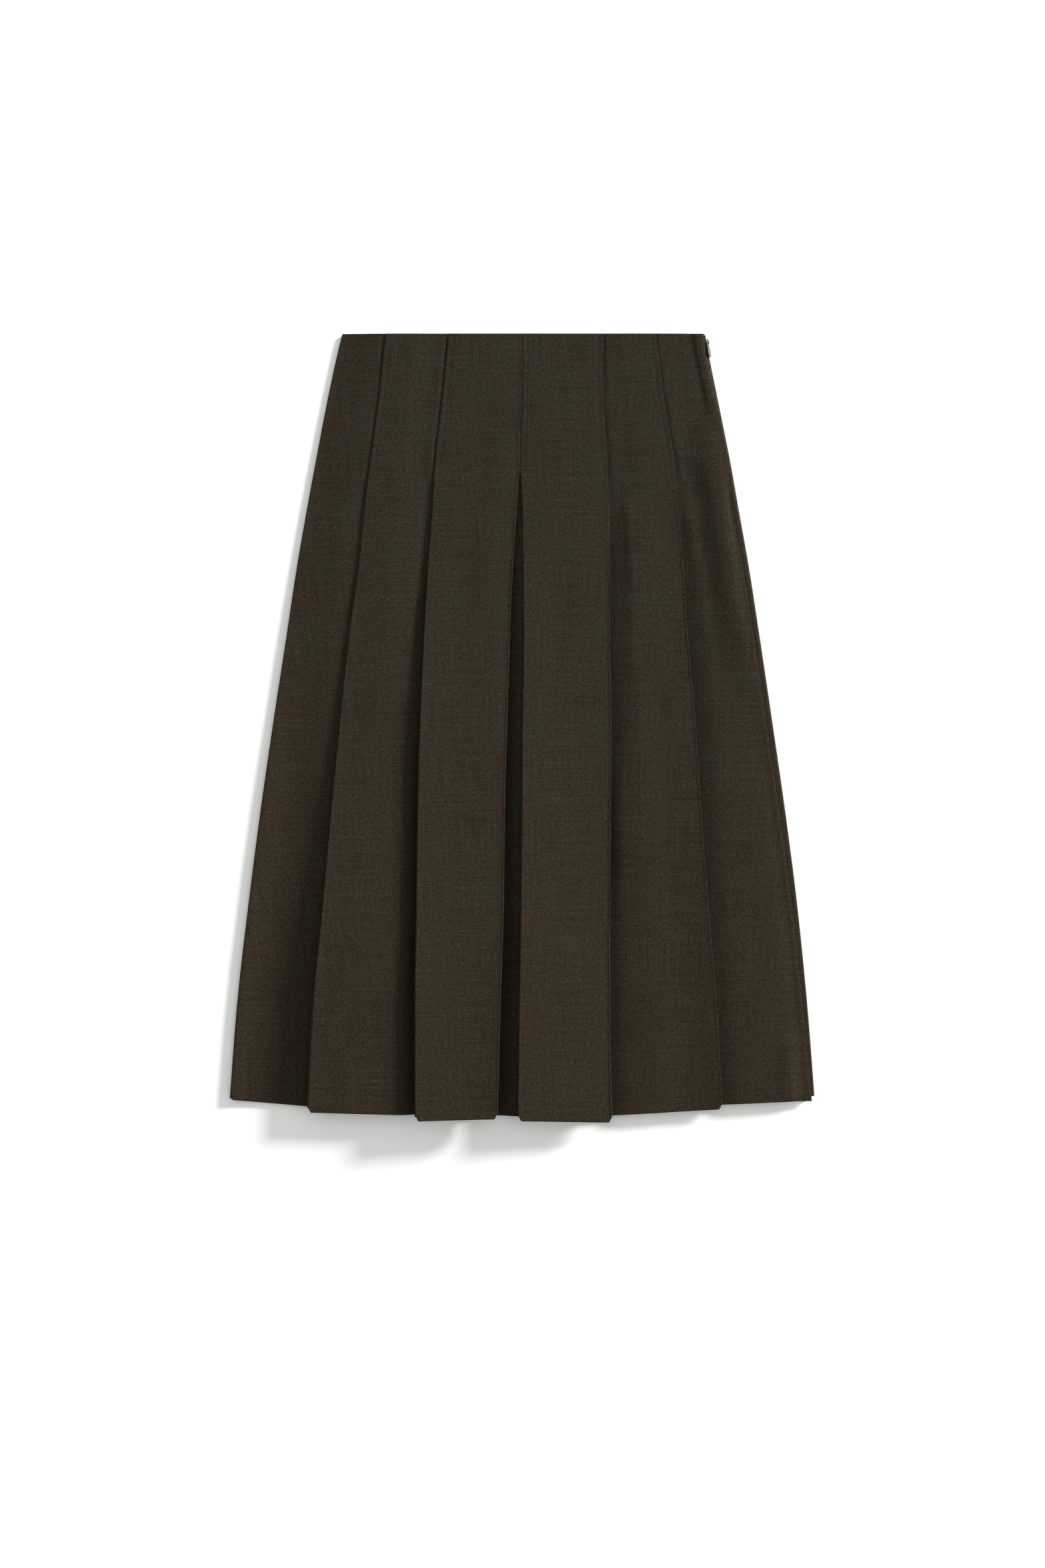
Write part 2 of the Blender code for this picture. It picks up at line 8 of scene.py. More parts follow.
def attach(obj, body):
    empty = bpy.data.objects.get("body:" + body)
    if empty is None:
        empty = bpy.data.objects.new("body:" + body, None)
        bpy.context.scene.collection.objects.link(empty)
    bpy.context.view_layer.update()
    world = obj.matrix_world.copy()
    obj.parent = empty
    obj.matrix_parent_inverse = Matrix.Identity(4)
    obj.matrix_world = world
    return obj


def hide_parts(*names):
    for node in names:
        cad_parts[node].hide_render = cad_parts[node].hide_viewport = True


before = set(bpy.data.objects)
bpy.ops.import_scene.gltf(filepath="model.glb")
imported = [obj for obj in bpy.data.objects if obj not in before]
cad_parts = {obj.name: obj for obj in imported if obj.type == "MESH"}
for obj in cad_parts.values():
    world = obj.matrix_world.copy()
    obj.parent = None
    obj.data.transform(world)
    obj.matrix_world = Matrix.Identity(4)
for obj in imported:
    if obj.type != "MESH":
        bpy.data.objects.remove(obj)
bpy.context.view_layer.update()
mm = 0.001

# The cut and the way it lies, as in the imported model. Lengths here are in mm.
cut = {
    "waistY": 385.5,  # the waist's place, up from the middle
    "length": 771,
    "sewnDown": 134,  # the pleats are sewn down to here
    "closeDown": (30, 40),  # faces lie close to the folds until this far below it, and part over this
    "thick": 0.5,  # a light worsted suiting
    "pitch": 0.68,  # from one pressed ply to the next
    "depthAtWaist": 28,  # cloth behind each fold
    "depthAtHem": 36,
    "stepRun": 15,  # a face steps down from its pleat in this run
    # a fold's radius grows as it rises, and its edge is squashed, by the way that it faces
    "softening": {-1: 0.04, 1: 0.01},
    "squash": {-1: 1, 1: 0.4},
    "backLow": 0.3,  # middle of the lowest ply
    "frontLow": 4.7,  # middle of the front's lowest ply
    "edgeFlat": {"left": 5.5, "right": 14},  # faces begin this far round from the edge
    "foldGap": 0.3,  # between the two centre folds
    "seamGap": 0.1,  # between the front's and the back's edge, and twice this at the left
    "seamRoll": {1: 0.2, -1: 0.07},  # radius at which the front's and the back's edge turn into the seam
    "seamLap": 0.45,  # where the right seam shows on top, the front stands over the back by this
    "lapHeights": {1: 0.4, -1: -0.5},  # how far the front rises and the back sinks there
    "lapDown": (165, 60),  # the lap begins here and is whole after this length
    "lapFade": (14, 11),  # the front's rise is gone this far in from its edge, and fades over this
    "lapCurl": (0.4, 2.5),  # share of the rise at the very edge, and where it is whole
    "lapRoll": 0.75,  # the front's edge turns in tighter by this share where it laps
    "seamSink": 0.35, "lapShallow": 0.33,  # each edge runs this far into the seam, and less by this in the lap
    "zipSlot": 2.2,  # the seam stands open for the slider
    "zipSlotDown": (14, 22),
    "cornerCut": 4.5,  # the hem's rise at each pressed fold
    "cornerRun": 2.6,
    "leftCorner": (2.2, 4, 9),  # the hem's left corner is rounded: rise, width and length
    "leafSag": 0.07,  # a pleat's inner ply sags by this
    "valley": (14, 6),  # the last face rises to the side in this run, which is wider by this early on
    "backDrop": 1,  # the back's waist is this much lower
    "backHem": 758, "backHemCurve": 12,  # its length in the middle, and less at its sides
    "rowGap": 6.2,  # between rows of the shell
    "rimShare": 0.6,  # the waist's and the hem's cut edge is rounded to this share of the thickness
    "turnShare": 0.6,  # and inside a tight turn the wall takes at most this share of its radius
    "reliefFade": 5,  # creases fade out over this beside the right seam
}
rightSeam = ((0, 1.1), (75, 1.1), (108, 2), (134, 3.6), (150, 6.2), (175, 9.4), (230, 10.5), (330, 9.9), (397, 9.5),
             (500, 8.9), (590, 8.2), (771, 5.5))
foldNames = ("left", "knife1", "knife2", "centreL", "centreR", "knife3", "knife4", "right")
foldSides = {"knife1": -1, "knife2": -1, "centreL": 1, "centreR": -1, "knife3": 1, "knife4": 1}
frontFolds = (  # down, then the place of each fold and side edge
    (0, -176, -133, -71.5, 0.5, 0.5, 79.5, 130.5, 179.5),
    (25, -182, -136, -74, 0.5, 0.5, 79, 134, 184),
    (60, -189.5, -139.5, -77.5, 0, 0, 79.5, 138, 191.1),
    (134, -203.7, -149.5, -85.5, -2, -2, 84, 150, 205.7),
    (147, -206.1, -151.1, -86.2, -3.3, -0.6, 84.4, 150.9, 208),
    (170, -210.3, -154, -87.5, -4.5, 0, 85, 152.5, 212),
    (230, -220.7, -160, -92, -8.5, 1, 86, 158, 222.6),
    (300, -231.2, -169.5, -96, -11.5, 1.5, 86, 162.5, 233.4),
    (380, -243.5, -178, -99.5, -14, 0.3, 87.5, 169.5, 245.4),
    (470, -256.4, -186.5, -102, -16.5, -0.4, 87, 175.5, 258.4),
    (560, -268, -194.5, -103, -17.5, -1.3, 86, 182, 269.9),
    (660, -279.3, -204, -104.5, -20.5, -3, 86, 190.5, 279.9),
    (771, -287.6, -210, -104.5, -23.5, -4.5, 88, 196.5, 288.5),
)
backFolds = (
    (0, -176, -131, -76, 0, 0, 76, 131, 179),
    (134, -203.5, -150, -84, 0, 0, 84, 150, 204.5),
    (380, -243.5, -174, -92, -6, 6, 92, 174, 244),
    (771, -287, -203, -98, -10, 10, 98, 203, 287),
)
# The cloth's length from waist to hem at each fold and under it
hemAt = {
    "left": 750.5, "knife1 under": 759, "knife1": 761, "knife2 under": 765, "knife2": 769,
    "centreL": 767, "centreL under": 765, "centreR under": 765, "centreR": 769,
    "knife3": 771, "knife3 under": 767, "knife4": 758.5, "knife4 under": 756, "right": 751,
}
# Heights above the pressed cloth: (down, mm) at each fold, and of the crowns of faces 5 and 6
foldRise = {
    "knife1": ((134, 0), (228, 0.15), (287, 0.7), (326, 0.9), (359, 1.4), (391, 1.85), (424, 2.7), (456, 3.7),
               (489, 4.7), (522, 5.6), (554, 6.8), (587, 8), (619, 9), (652, 9.7), (771, 9.6)),
    "knife2": ((134, 0), (150, 0.6), (209, 1), (228, 1.3), (248, 2.1), (267, 3.1), (287, 3.9), (326, 5.1), (359, 6.5),
               (391, 7.5), (424, 8.7), (489, 10.7), (554, 13.2), (619, 15.5), (652, 16.7), (771, 16.6)),
    "centreL": ((134, 0.2), (150, 0.9), (200, 1.6), (300, 4.2), (355, 6), (453, 8.9), (551, 12.2), (649, 15.2),
                (771, 15.1)),
    "centreR": ((134, 0.2), (150, 0.9), (200, 1.5), (300, 3.9), (355, 5.2), (453, 7.9), (551, 10.8), (649, 13.2),
                (771, 13.2)),
    "knife3": ((134, 0), (250, 1.2), (355, 2.9), (453, 4.8), (551, 6.6), (649, 8.2), (771, 8.2)),
    "knife4": ((134, 0), (200, 1), (300, 1.8), (355, 2.2), (551, 2.8), (771, 3)),
    "crown5": ((134, 0), (160, 1.4), (190, 3), (210, 3.8), (355, 4), (430, 4), (500, 4.5), (560, 3.4), (771, 3.2)),
    "crown6": ((134, 0), (200, 1.8), (355, 2.2), (771, 2.2)),
    "underlay": ((134, 0), (355, 3), (771, 7)),
}
# How far face 5 takes to rise beside its fold: (down, mm)
riseFive = ((134, 14), (228, 17), (359, 15), (440, 11), (500, 9), (560, 12), (650, 16), (771, 16))
# How narrow each side's round edge is for its height: (down, share)
edgeNarrow = {
    "left": ((0, 0.8), (280, 0.7), (450, 0.45), (771, 0.42)),
    "right": ((0, 1), (60, 1), (150, 0.75), (200, 0.4), (771, 0.4)),
}
# The middle of the front's cloth where it turns down at each side edge: (down, height)
sideHigh = {
    "left": ((0, 2.4), (134, 2.7), (280, 3.2), (450, 3.8), (600, 4.2), (771, 4.4)),
    "right": ((0, 4.7), (60, 4.7), (100, 5.9), (150, 7.5), (280, 7.5), (400, 5.6), (771, 4.2)),
}
# Forms of the front's faces: height or share, where it comes in and over what length, and goes out
faceForms = {
    "bulge": (0.8, 180, 160), "sink": (2, 150, 120), "lifted": (1, 280, 200),
    "curl": (1, 240, 90, 650, 90), "valley": (1, 60, 60, 460, 150),
}
# Soft steps, ridges and troughs pressed or pulled into the front: form, height, width to the
# left and to the right, the lengths over which it fades in and out, then (across, down) points
creases = (
    ("step", 1.1, (4, 4), (0.1, 45),
     ((167.5, 0), (169, 13), (170.5, 20), (172.3, 29), (174, 39), (178, 57), (181, 71), (186, 100))),
    ("step", 0.5, (14, 14), (0.1, 60), ((159, 0), (164, 60), (172, 110))),
    ("ridge", 1.1, (16, 11), (50, 140),
     ((176, 70), (185, 117), (189, 143), (194, 170), (197, 196), (201, 228), (204.5, 261), (211, 300), (217, 350))),
    ("ridge", 0.9, (34, 14), (90, 160), ((186, 120), (194, 170), (204.5, 261), (217, 350), (226, 420))),
    ("ridge", -0.5, (14, 14), (40, 90), ((166, 50), (172, 140), (180, 310))),
    ("ridge", 1, (9, 9), (30, 1), ((262, 690), (268, 771))),
    ("ridge", -0.35, (12, 12), (50, 80), ((30, 180), (38, 420))),
    ("ridge", 0.35, (16, 16), (60, 90), ((112, 60), (124, 300))),
    ("ridge", -0.3, (14, 14), (40, 60), ((-30, 40), (-44, 190))),
    ("ridge", 0.3, (10, 10), (50, 60), ((-112, 30), (-122, 210))),
)
topstitch = {
    "fromFold": 5, "groove": 0.15, "grooveWidth": 0.8,
    "pitch": 2.6, "length": 1.9, "radius": 0.18, "droop": 0.1,  # each stitch's ends dip into the cloth
}
nearFold = (0.5, 1.2, 2.2, 3.4, 4.4, 5, 5.6, 6.6, 8.2, 11)  # extra columns beside a fold
nearUnder = (2, 6)
waves = ((0.36, 75, 120, 3.7), (0.07, 22, 34, 9.1))  # height, length across, length down, seed


def ease(t):
    t = min(1.0, max(0.0, t))
    return t * t * (3 - 2 * t)


def formAt(name, down):
    height, start, fadeIn, *leaving = faceForms[name]
    shown = ease((down - start) / fadeIn)
    if leaving:
        shown *= ease((leaving[0] - down) / leaving[1])
    return height * shown


def smoothly(table, at, column=1):
    # a curve through the rows of a table that never overshoots them
    xs = np.array([row[0] for row in table], float)
    ys = np.array([row[column] for row in table], float)
    runs, rises = np.diff(xs), np.diff(ys) / np.diff(xs)
    slopes = np.concatenate([rises[:1], np.zeros(len(xs) - 2), rises[-1:]])
    for i in range(1, len(xs) - 1):
        if rises[i - 1] * rises[i] > 0:
            a, b = 2 * runs[i] + runs[i - 1], runs[i] + 2 * runs[i - 1]
            slopes[i] = (a + b) / (a / rises[i - 1] + b / rises[i])
    at = min(max(at, xs[0]), xs[-1])
    i = int(min(max(np.searchsorted(xs, at, side="right") - 1, 0), len(xs) - 2))
    t = (at - xs[i]) / runs[i]
    curve = ys[i] * (1 + 2 * t) * (1 - t) ** 2 + ys[i + 1] * t * t * (3 - 2 * t)
    return float(curve + runs[i] * (slopes[i] * t * (1 - t) ** 2 - slopes[i + 1] * t * t * (1 - t)))


def foldsAt(table, down):
    # the tables are by the distance that shows, which at a side is a little less than along the middle
    places = {name: smoothly(table, down * hemAt[name] / cut["length"], i + 1) for i, name in enumerate(foldNames)}
    gaps = [(row[0], row[5] - row[4]) for row in table]
    places["centreL"] = places["centreR"] - smoothly(gaps, down) - cut["foldGap"] / 2
    places["centreR"] += cut["foldGap"] / 2
    return places


def sideEdge(side, down):
    # the round edge where front and back meet: its way out, centre, radius and how narrow it is
    sign = 1 if side == "right" else -1
    radius = (smoothly(sideHigh[side], down) - cut["backLow"]) / 2
    outer = smoothly(frontFolds, down * hemAt[side] / cut["length"], 1 if side == "left" else 8)
    narrow = smoothly(edgeNarrow[side], down)
    return sign, outer - sign * (cut["thick"] / 2 + radius * narrow), cut["backLow"] + radius, radius, narrow


def onEdge(edge, along):
    # a point and its way out, this far round from the outermost line to the front
    sign, x, z, radius, narrow = edge
    quarter = radius * math.pi / 2
    if abs(along) > quarter:
        up = math.copysign(1, along)
        return x - sign * (abs(along) - quarter), z + up * radius, (0, up)
    a = along / radius
    out = np.array((sign * math.cos(a), narrow * math.sin(a)))
    out /= np.linalg.norm(out)
    return x + sign * radius * narrow * math.cos(a), z + radius * math.sin(a), (out[0], out[1])


def seamAlong(side, down):
    # where the side seam lies round the edge, and how far it stands open
    if side == "left":
        return 0.0, 2 * cut["seamGap"]
    closing = np.interp(down, cut["zipSlotDown"], (cut["zipSlot"], cut["seamGap"]))
    return smoothly(rightSeam, down), float(closing)


def clothEdge(side, down, face):
    # a cloth's line round an edge, then its turn into the seam. face is 1 for front, -1 for back.
    edge = sideEdge(side, down)
    seam, gap = seamAlong(side, down)
    # the front rises first, and then laps over the back
    begin, run = cut["lapDown"]
    lapped = ease((down - begin) / run) if side == "right" else 0
    raised = ease(2 * lapped)
    roll = cut["seamRoll"][face] * (1 - cut["lapRoll"] * raised if face > 0 else 1)
    a = min(abs(seam) / edge[3], math.pi / 2)
    stretch = 1 / math.hypot(edge[4] * math.sin(a), math.cos(a)) if a < math.pi / 2 else 1
    end = seam + face * (gap / 2 + cut["thick"] / 2 + roll) * stretch
    end -= max(0, face) * cut["seamLap"] * ease(2 * lapped - 1)
    quarter = edge[3] * math.pi / 2
    if face > 0:
        bend = max(quarter, end + 2)
        alongs = [*np.linspace(cut["edgeFlat"][side], bend, 7), *np.linspace(bend, end, 8)[1:]]
    else:
        alongs = [*np.linspace(-cut["edgeFlat"][side], -quarter, 3), *np.linspace(-quarter, end, 9)[1:]]
    (reach, fade), (curl, whole) = cut["lapFade"], cut["lapCurl"]
    rows = []
    for along in alongs:
        x, z, out = onEdge(edge, along)
        off = along - end
        if face > 0:
            near = ease((reach - off) / fade) * (curl + (1 - curl) * ease(off / whole))
        else:
            near = ease(along / quarter)
        lift = cut["lapHeights"][face] * lapped * near
        rows.append((x + out[0] * lift, z + out[1] * lift, out))
    x, z, out = rows[-1]
    ahead = (face * edge[0] * out[1], -face * edge[0] * out[0])
    for angle in (0.5, 1.0, 1.5):
        a, b = roll * math.sin(angle), roll * (1 - math.cos(angle))
        way = tuple(out[i] * math.cos(angle) + ahead[i] * math.sin(angle) for i in (0, 1))
        rows.append((x + ahead[0] * a - out[0] * b, z + ahead[1] * a - out[1] * b, way))
    x, z, way = rows[-1]
    sunk = cut["seamSink"] - cut["lapShallow"] * raised
    inward = onEdge(edge, seam)[2]
    rows.append((x - inward[0] * sunk, z - inward[1] * sunk, way))
    return rows


def spread(start, end, nearStart, nearEnd, count):
    way = 1 if end > start else -1
    first = [start + way * v for v in (0, *nearStart)]
    last = [end - way * v for v in (*reversed(nearEnd), 0)]
    return [*first, *np.linspace(first[-1], last[0], count + 1)[1:-1], *last]


def foldRadius(side, rise):
    return cut["pitch"] / 2 + cut["softening"][side] * rise


def plyEnds(side, fold, depth, rise):
    flat = cut["thick"] / 2 + foldRadius(side, rise) * cut["squash"][side]
    return fold - side * flat, fold - side * (depth - cut["pitch"] / 2)


class Section:
    # the middle line of one section: x, z, the cloth's length, and its way out at an edge

    def __init__(self):
        self.points = []
        self.marks = {}

    def add(self, x, z, hem, way=None):
        self.points.append((x, z, hem, *(way or (math.nan, math.nan))))

    def mark(self, name, last=0):
        # where the face beside this fold begins, or with last=1 where it ends
        self.marks[name] = len(self.points) - last

    def run(self, xs, height, hems, cornerStart=0, cornerEnd=0):
        start, end = xs[0], xs[-1]
        for x in xs:
            t = (x - start) / (end - start)
            near = ease(1 - abs(x - start) / cut["cornerRun"]) * cornerStart
            near += ease(1 - abs(x - end) / cut["cornerRun"]) * cornerEnd
            self.add(x, height(x, t), hems[0] + (hems[1] - hems[0]) * t - near)

    def turn(self, x, zStart, zEnd, side, hem):
        steps = 6
        radius = (zEnd - zStart) / 2
        squash = cut["squash"][side] if abs(radius) < 2 else 1
        for i in range(1, steps):
            a = math.pi * i / steps
            self.add(x + side * abs(radius) * squash * math.sin(a), zStart + radius * (1 - math.cos(a)), hem)

    def pleat(self, side, fold, depth, low, rise, hems):
        # a knife pleat's three turns of cloth; side is the way its fold faces
        pitch = cut["pitch"]
        top, under = plyEnds(side, fold, depth, rise)
        high, middle = low + 2 * pitch + rise, low + pitch
        leaf = high - 2 * foldRadius(side, rise)
        corner = cut["cornerCut"]

        def leafHeight(x, _t):
            t = min(1.0, max(0.0, (x - top) / (under - top)))
            return middle + (leaf - middle) * (1 - t) ** 2 - cut["leafSag"] * ease(8 * t) * ease(8 - 8 * t)

        hemUnder, hemFold = hems
        if side < 0:
            self.turn(under, low, middle, 1, hemUnder)
            self.run(spread(under, top, (), (1.2,), 6), leafHeight, (hemUnder, hemFold), 0, corner)
            self.turn(top, leaf, high, -1, hemFold - corner)
        else:
            self.turn(top, high, leaf, 1, hemFold - corner)
            self.run(spread(top, under, (1.2,), (), 6), leafHeight, (hemFold, hemUnder), corner, 0)
            self.turn(under, middle, low, -1, hemUnder)


def pleatEnds(fold, down, rise):
    # how deep the pleats are, and where the upper and the under side of each end
    depth = cut["depthAtWaist"] + (cut["depthAtHem"] - cut["depthAtWaist"]) * (down / cut["length"])
    upper, under = {}, {}
    for name, side in foldSides.items():
        upper[name], under[name] = plyEnds(side, fold[name], depth, rise[name])
    return depth, upper, under


def frontSection(down):
    fold = foldsAt(frontFolds, down)
    rise = {name: smoothly(rows, down) for name, rows in foldRise.items()}
    depth, upper, under = pleatEnds(fold, down, rise)
    left, right = clothEdge("left", down, 1), clothEdge("right", down, 1)
    low, step, run = cut["frontLow"], 2 * cut["pitch"], cut["stepRun"]
    stepTwo, stepFive = under["knife1"] + 1, under["knife4"] - 2
    section = Section()

    def sewn(x, *folds):
        # the groove that a row of topstitches presses in beside a fold
        if down > cut["sewnDown"] + 3:
            return 0
        off = [abs(x - fold[name]) - topstitch["fromFold"] for name in folds]
        return -topstitch["groove"] * max(math.exp(-((v / topstitch["grooveWidth"]) ** 2)) for v in off)

    def face(shape, base, *folds):
        # shape is a curve of (x, height above pressed)
        def height(x, _t):
            return base(x) + smoothly(shape, x) + (sewn(x, *folds) if folds else 0)
        return height

    first, second, third, fourth = (rise[f"knife{i}"] for i in (1, 2, 3, 4))
    crownFive, crownSix = rise["crown5"], rise["crown6"]
    valleyRun, wider = cut["valley"]
    early = formAt("valley", down)
    upSix = right[0][0] - valleyRun * early
    runSix = valleyRun + wider * early
    sideLeft, sideRight = left[0][1] - low, right[0][1] - low
    # where the pleats are sewn, each face lies close against the fold beside it
    below, parting = cut["closeDown"]
    close = ease((cut["sewnDown"] + below - down) / parting)
    # face 2 bulges before it dives under the next fold
    bulge, sink = formAt("bulge", down), formAt("sink", down)
    # face 1 curls up along the side
    lifted = formAt("lifted", down)
    level = fold["knife1"] - 12
    margin = level - left[0][0]
    # face 4 curls up a little along its right fold
    curl = formAt("curl", down)
    nearFive, farFive = fold["knife3"], stepFive - run
    wide = farFive - nearFive
    beside = smoothly(riseFive, down)
    rim = {name: min(0.4, 0.12 + 0.18 * rise[name]) for name in foldSides}
    shapes = {
        1: (*((left[0][0] + margin * s, sideLeft * (1 - s * (1 - lifted)) - dip * lifted)
              for s, dip in ((0, 0), (0.085, 0.7), (0.22, 1.3), (0.43, 1.6))),
            (level, -0.7 * lifted),
            (fold["knife1"] - 1.6, 0.45 * close), (fold["knife1"] + 0.4, 0), (under["knife1"], 0)),
        2: ((upper["knife1"], first), (upper["knife1"] + 9, 0.97 * first), (fold["knife2"] - 21, first + bulge),
            (fold["knife2"] - 13, 0.92 * first + bulge),
            (fold["knife2"] - 1 - close, 0.2 * first - 0.5 * sink + 0.85 * close),
            (fold["knife2"] + 0.2 + 3.8 * (1 - close), -sink), (under["knife2"] - 3, 0), (under["knife2"], 0)),
        3: ((upper["knife2"], second), (upper["knife2"] + 10, 0.96 * second), (upper["knife2"] + 35, 0.88 * second),
            (upper["centreL"] - 22, 0.94 * rise["centreL"]), (upper["centreL"] - 2, rise["centreL"] - rim["centreL"]),
            (upper["centreL"], rise["centreL"])),
        4: ((upper["centreR"], rise["centreR"]),
            (upper["knife3"] - 11, third + 0.02 * rise["centreR"] - 0.5 * curl),
            (upper["knife3"] - 2, third - rim["knife3"]), (upper["knife3"], third)),
        5: ((under["knife3"], 0), (nearFive, 0), (nearFive + 1.15, 1.2 * close + 0.1 * crownFive),
            (nearFive + 3, 1.25 * close + 0.22 * crownFive), (nearFive + beside, 1.25 * close + 0.78 * crownFive),
            (nearFive + 0.8 * wide, 1.2 * close + crownFive), (farFive + 1, 1.2 * close + 0.94 * crownFive),
            (stepFive, max(0.1 * close, 0.8 * crownFive - 1.3)), (upper["knife4"] - 2, fourth - rim["knife4"]),
            (upper["knife4"], fourth)),
        6: ((under["knife4"], 0), (fold["knife4"], 0), (fold["knife4"] + 1.15, 1.2 * close + 0.12 * crownSix),
            (fold["knife4"] + 7, 1.15 * close + 0.6 * crownSix),
            (max(fold["knife4"] + 9, min(fold["knife4"] + 20, upSix - 7 - runSix)), close + 1.1 * crownSix),
            (upSix - runSix, 0.9 * close + 0.9 * crownSix), (upSix, sideRight)),
    }
    between = ((under["centreL"], 0), (fold["centreL"] - 3, -0.9 * sink), (fold["centreL"] + 1, -sink),
               (fold["centreR"] - 1, rise["underlay"]),
               (fold["centreR"] + 13, 0.3 * rise["underlay"]), (under["centreR"] - 7, 0), (under["centreR"], 0))

    def slopeTwo(x):
        # face 2 comes down from its pleat to the cloth beside the next fold
        end = fold["knife2"] - 1.5
        return low + step * min(1, max(0, (end - x) / (end - stepTwo)))

    def pleat(name):
        hems = hemAt[name + " under"], hemAt[name]
        section.pleat(foldSides[name], fold[name], depth, low, rise[name], hems)

    corner = cut["cornerCut"]
    lift, across, tall = cut["leftCorner"]
    for x, z, way in left[::-1]:
        rounding = lift * ease(1 - (x - left[-1][0]) / across) * ease((down - cut["length"] + tall) / tall)
        section.add(x, z, hemAt["left"] - rounding, way)
    section.run(spread(left[0][0], under["knife1"], (), nearUnder, 17)[1:], face(shapes[1], lambda x: low),
                (hemAt["left"], hemAt["knife1 under"]))
    pleat("knife1")
    section.mark("knife1")
    section.run(spread(upper["knife1"], under["knife2"], nearFold, nearUnder, 20),
                face(shapes[2], slopeTwo, "knife1"), (hemAt["knife1"], hemAt["knife2 under"]), corner)
    pleat("knife2")
    section.mark("knife2")
    section.run(spread(upper["knife2"], upper["centreL"], nearFold, nearFold, 12),
                face(shapes[3], lambda x: low + step, "knife2", "centreL"),
                (hemAt["knife2"], hemAt["centreL"]), corner, corner)
    section.mark("centreL", 1)
    pleat("centreL")
    section.run(spread(under["centreL"], under["centreR"], (), (), 20), face(between, lambda x: low),
                (hemAt["centreL under"], hemAt["centreR under"]))
    pleat("centreR")
    section.mark("centreR")
    section.run(spread(upper["centreR"], upper["knife3"], nearFold, nearFold, 12),
                face(shapes[4], lambda x: low + step, "centreR", "knife3"),
                (hemAt["centreR"], hemAt["knife3"]), corner, corner)
    section.mark("knife3", 1)
    pleat("knife3")
    section.run(spread(under["knife3"], upper["knife4"], nearUnder, nearFold, 21),
                face(shapes[5], lambda x: low + step * ease((x - stepFive + run) / run), "knife4"),
                (hemAt["knife3 under"], hemAt["knife4"]), 0, corner)
    section.mark("knife4", 1)
    pleat("knife4")
    section.run(spread(under["knife4"], right[0][0], nearUnder, (), 18)[:-1], face(shapes[6], lambda x: low),
                (hemAt["knife4 under"], hemAt["right"]))
    for x, z, way in right:
        section.add(x, z, hemAt["right"], way)
    return section


def backSection(down):
    # the same kind of pleats pressed flat, worked out face up and then turned over
    share = down / cut["length"]
    fold = foldsAt(backFolds, down)
    depth, upper, under = pleatEnds(fold, down, dict.fromkeys(foldSides, 0))
    # its rows end higher than the front's, so each edge is taken where the two meet
    shown = cut["backDrop"] * (1 - share) + (cut["backHem"] - cut["backHemCurve"]) * share
    left, right = (clothEdge(side, shown * cut["length"] / hemAt[side], -1) for side in ("left", "right"))
    low, step, run = cut["backLow"], 2 * cut["pitch"], cut["stepRun"]
    later = (0, 0)  # the hem is set for the whole back at the end
    section = Section()

    def stepUp(start):
        return lambda x, _t: low + step * ease((x - start) / run)

    def stepDown(start):
        return lambda x, _t: low + step * (1 - ease((x - start) / run))

    def high(_x, _t):
        return low + step

    def flat(_x, _t):
        return low

    def pleat(name):
        section.pleat(foldSides[name], fold[name], depth, low, 0, later)

    section.run(spread(left[0][0], under["knife1"], (), (), 15)[1:], stepDown(fold["knife1"] - 4 - run), later)
    pleat("knife1")
    section.mark("knife1")
    section.run(spread(upper["knife1"], under["knife2"], nearFold, (), 16),
                stepDown(under["knife1"] + 4), later)
    pleat("knife2")
    section.mark("knife2")
    section.run(spread(upper["knife2"], upper["centreL"], nearFold, nearFold, 8), high, later)
    section.mark("centreL", 1)
    pleat("centreL")
    section.run(spread(under["centreL"], under["centreR"], (), (), 10), flat, later)
    pleat("centreR")
    section.mark("centreR")
    section.run(spread(upper["centreR"], upper["knife3"], nearFold, nearFold, 8), high, later)
    section.mark("knife3", 1)
    pleat("knife3")
    section.run(spread(under["knife3"], upper["knife4"], (), nearFold, 16), stepUp(under["knife4"] - 4 - run), later)
    section.mark("knife4", 1)
    pleat("knife4")
    section.run(spread(under["knife4"], right[0][0], (), (), 15)[:-1], stepUp(fold["knife4"] + 4), later)
    turned = [(x, 2 * low + step - z, 0, nx, nz) for x, z, _, nx, nz in section.points]
    edges = [[(x, z, 0, *way) for x, z, way in rows] for rows in (left[::-1], right)]
    section.marks = {name: i + len(edges[0]) for name, i in section.marks.items()}
    section.points = [(x, z, cut["backHem"] - cut["backHemCurve"] * (x / fold["right"]) ** 2, nx, nz)
                      for x, z, _, nx, nz in (*edges[0], *turned, *edges[1])]
    return section


def creaseAt(x, down):
    total = 0
    for form, height, widths, (fadeIn, fadeOut), path in creases:
        first, last = path[0][1], path[-1][1]
        if not first <= down <= last:
            continue
        line = smoothly([(d, a) for a, d in path], down)
        shown = ease((down - first) / fadeIn) * ease((last - down) / fadeOut)
        off = (x - line) / widths[1 if x > line else 0]
        total += height * shown * (ease(off + 0.5) if form == "step" else math.exp(-off * off))
    return total


def undulation(x, down):
    # cloth that has been pressed and laid down is never quite flat
    return sum(height * noise.noise(Vector((x / across, down / along, seed))) for height, across, along, seed in waves)


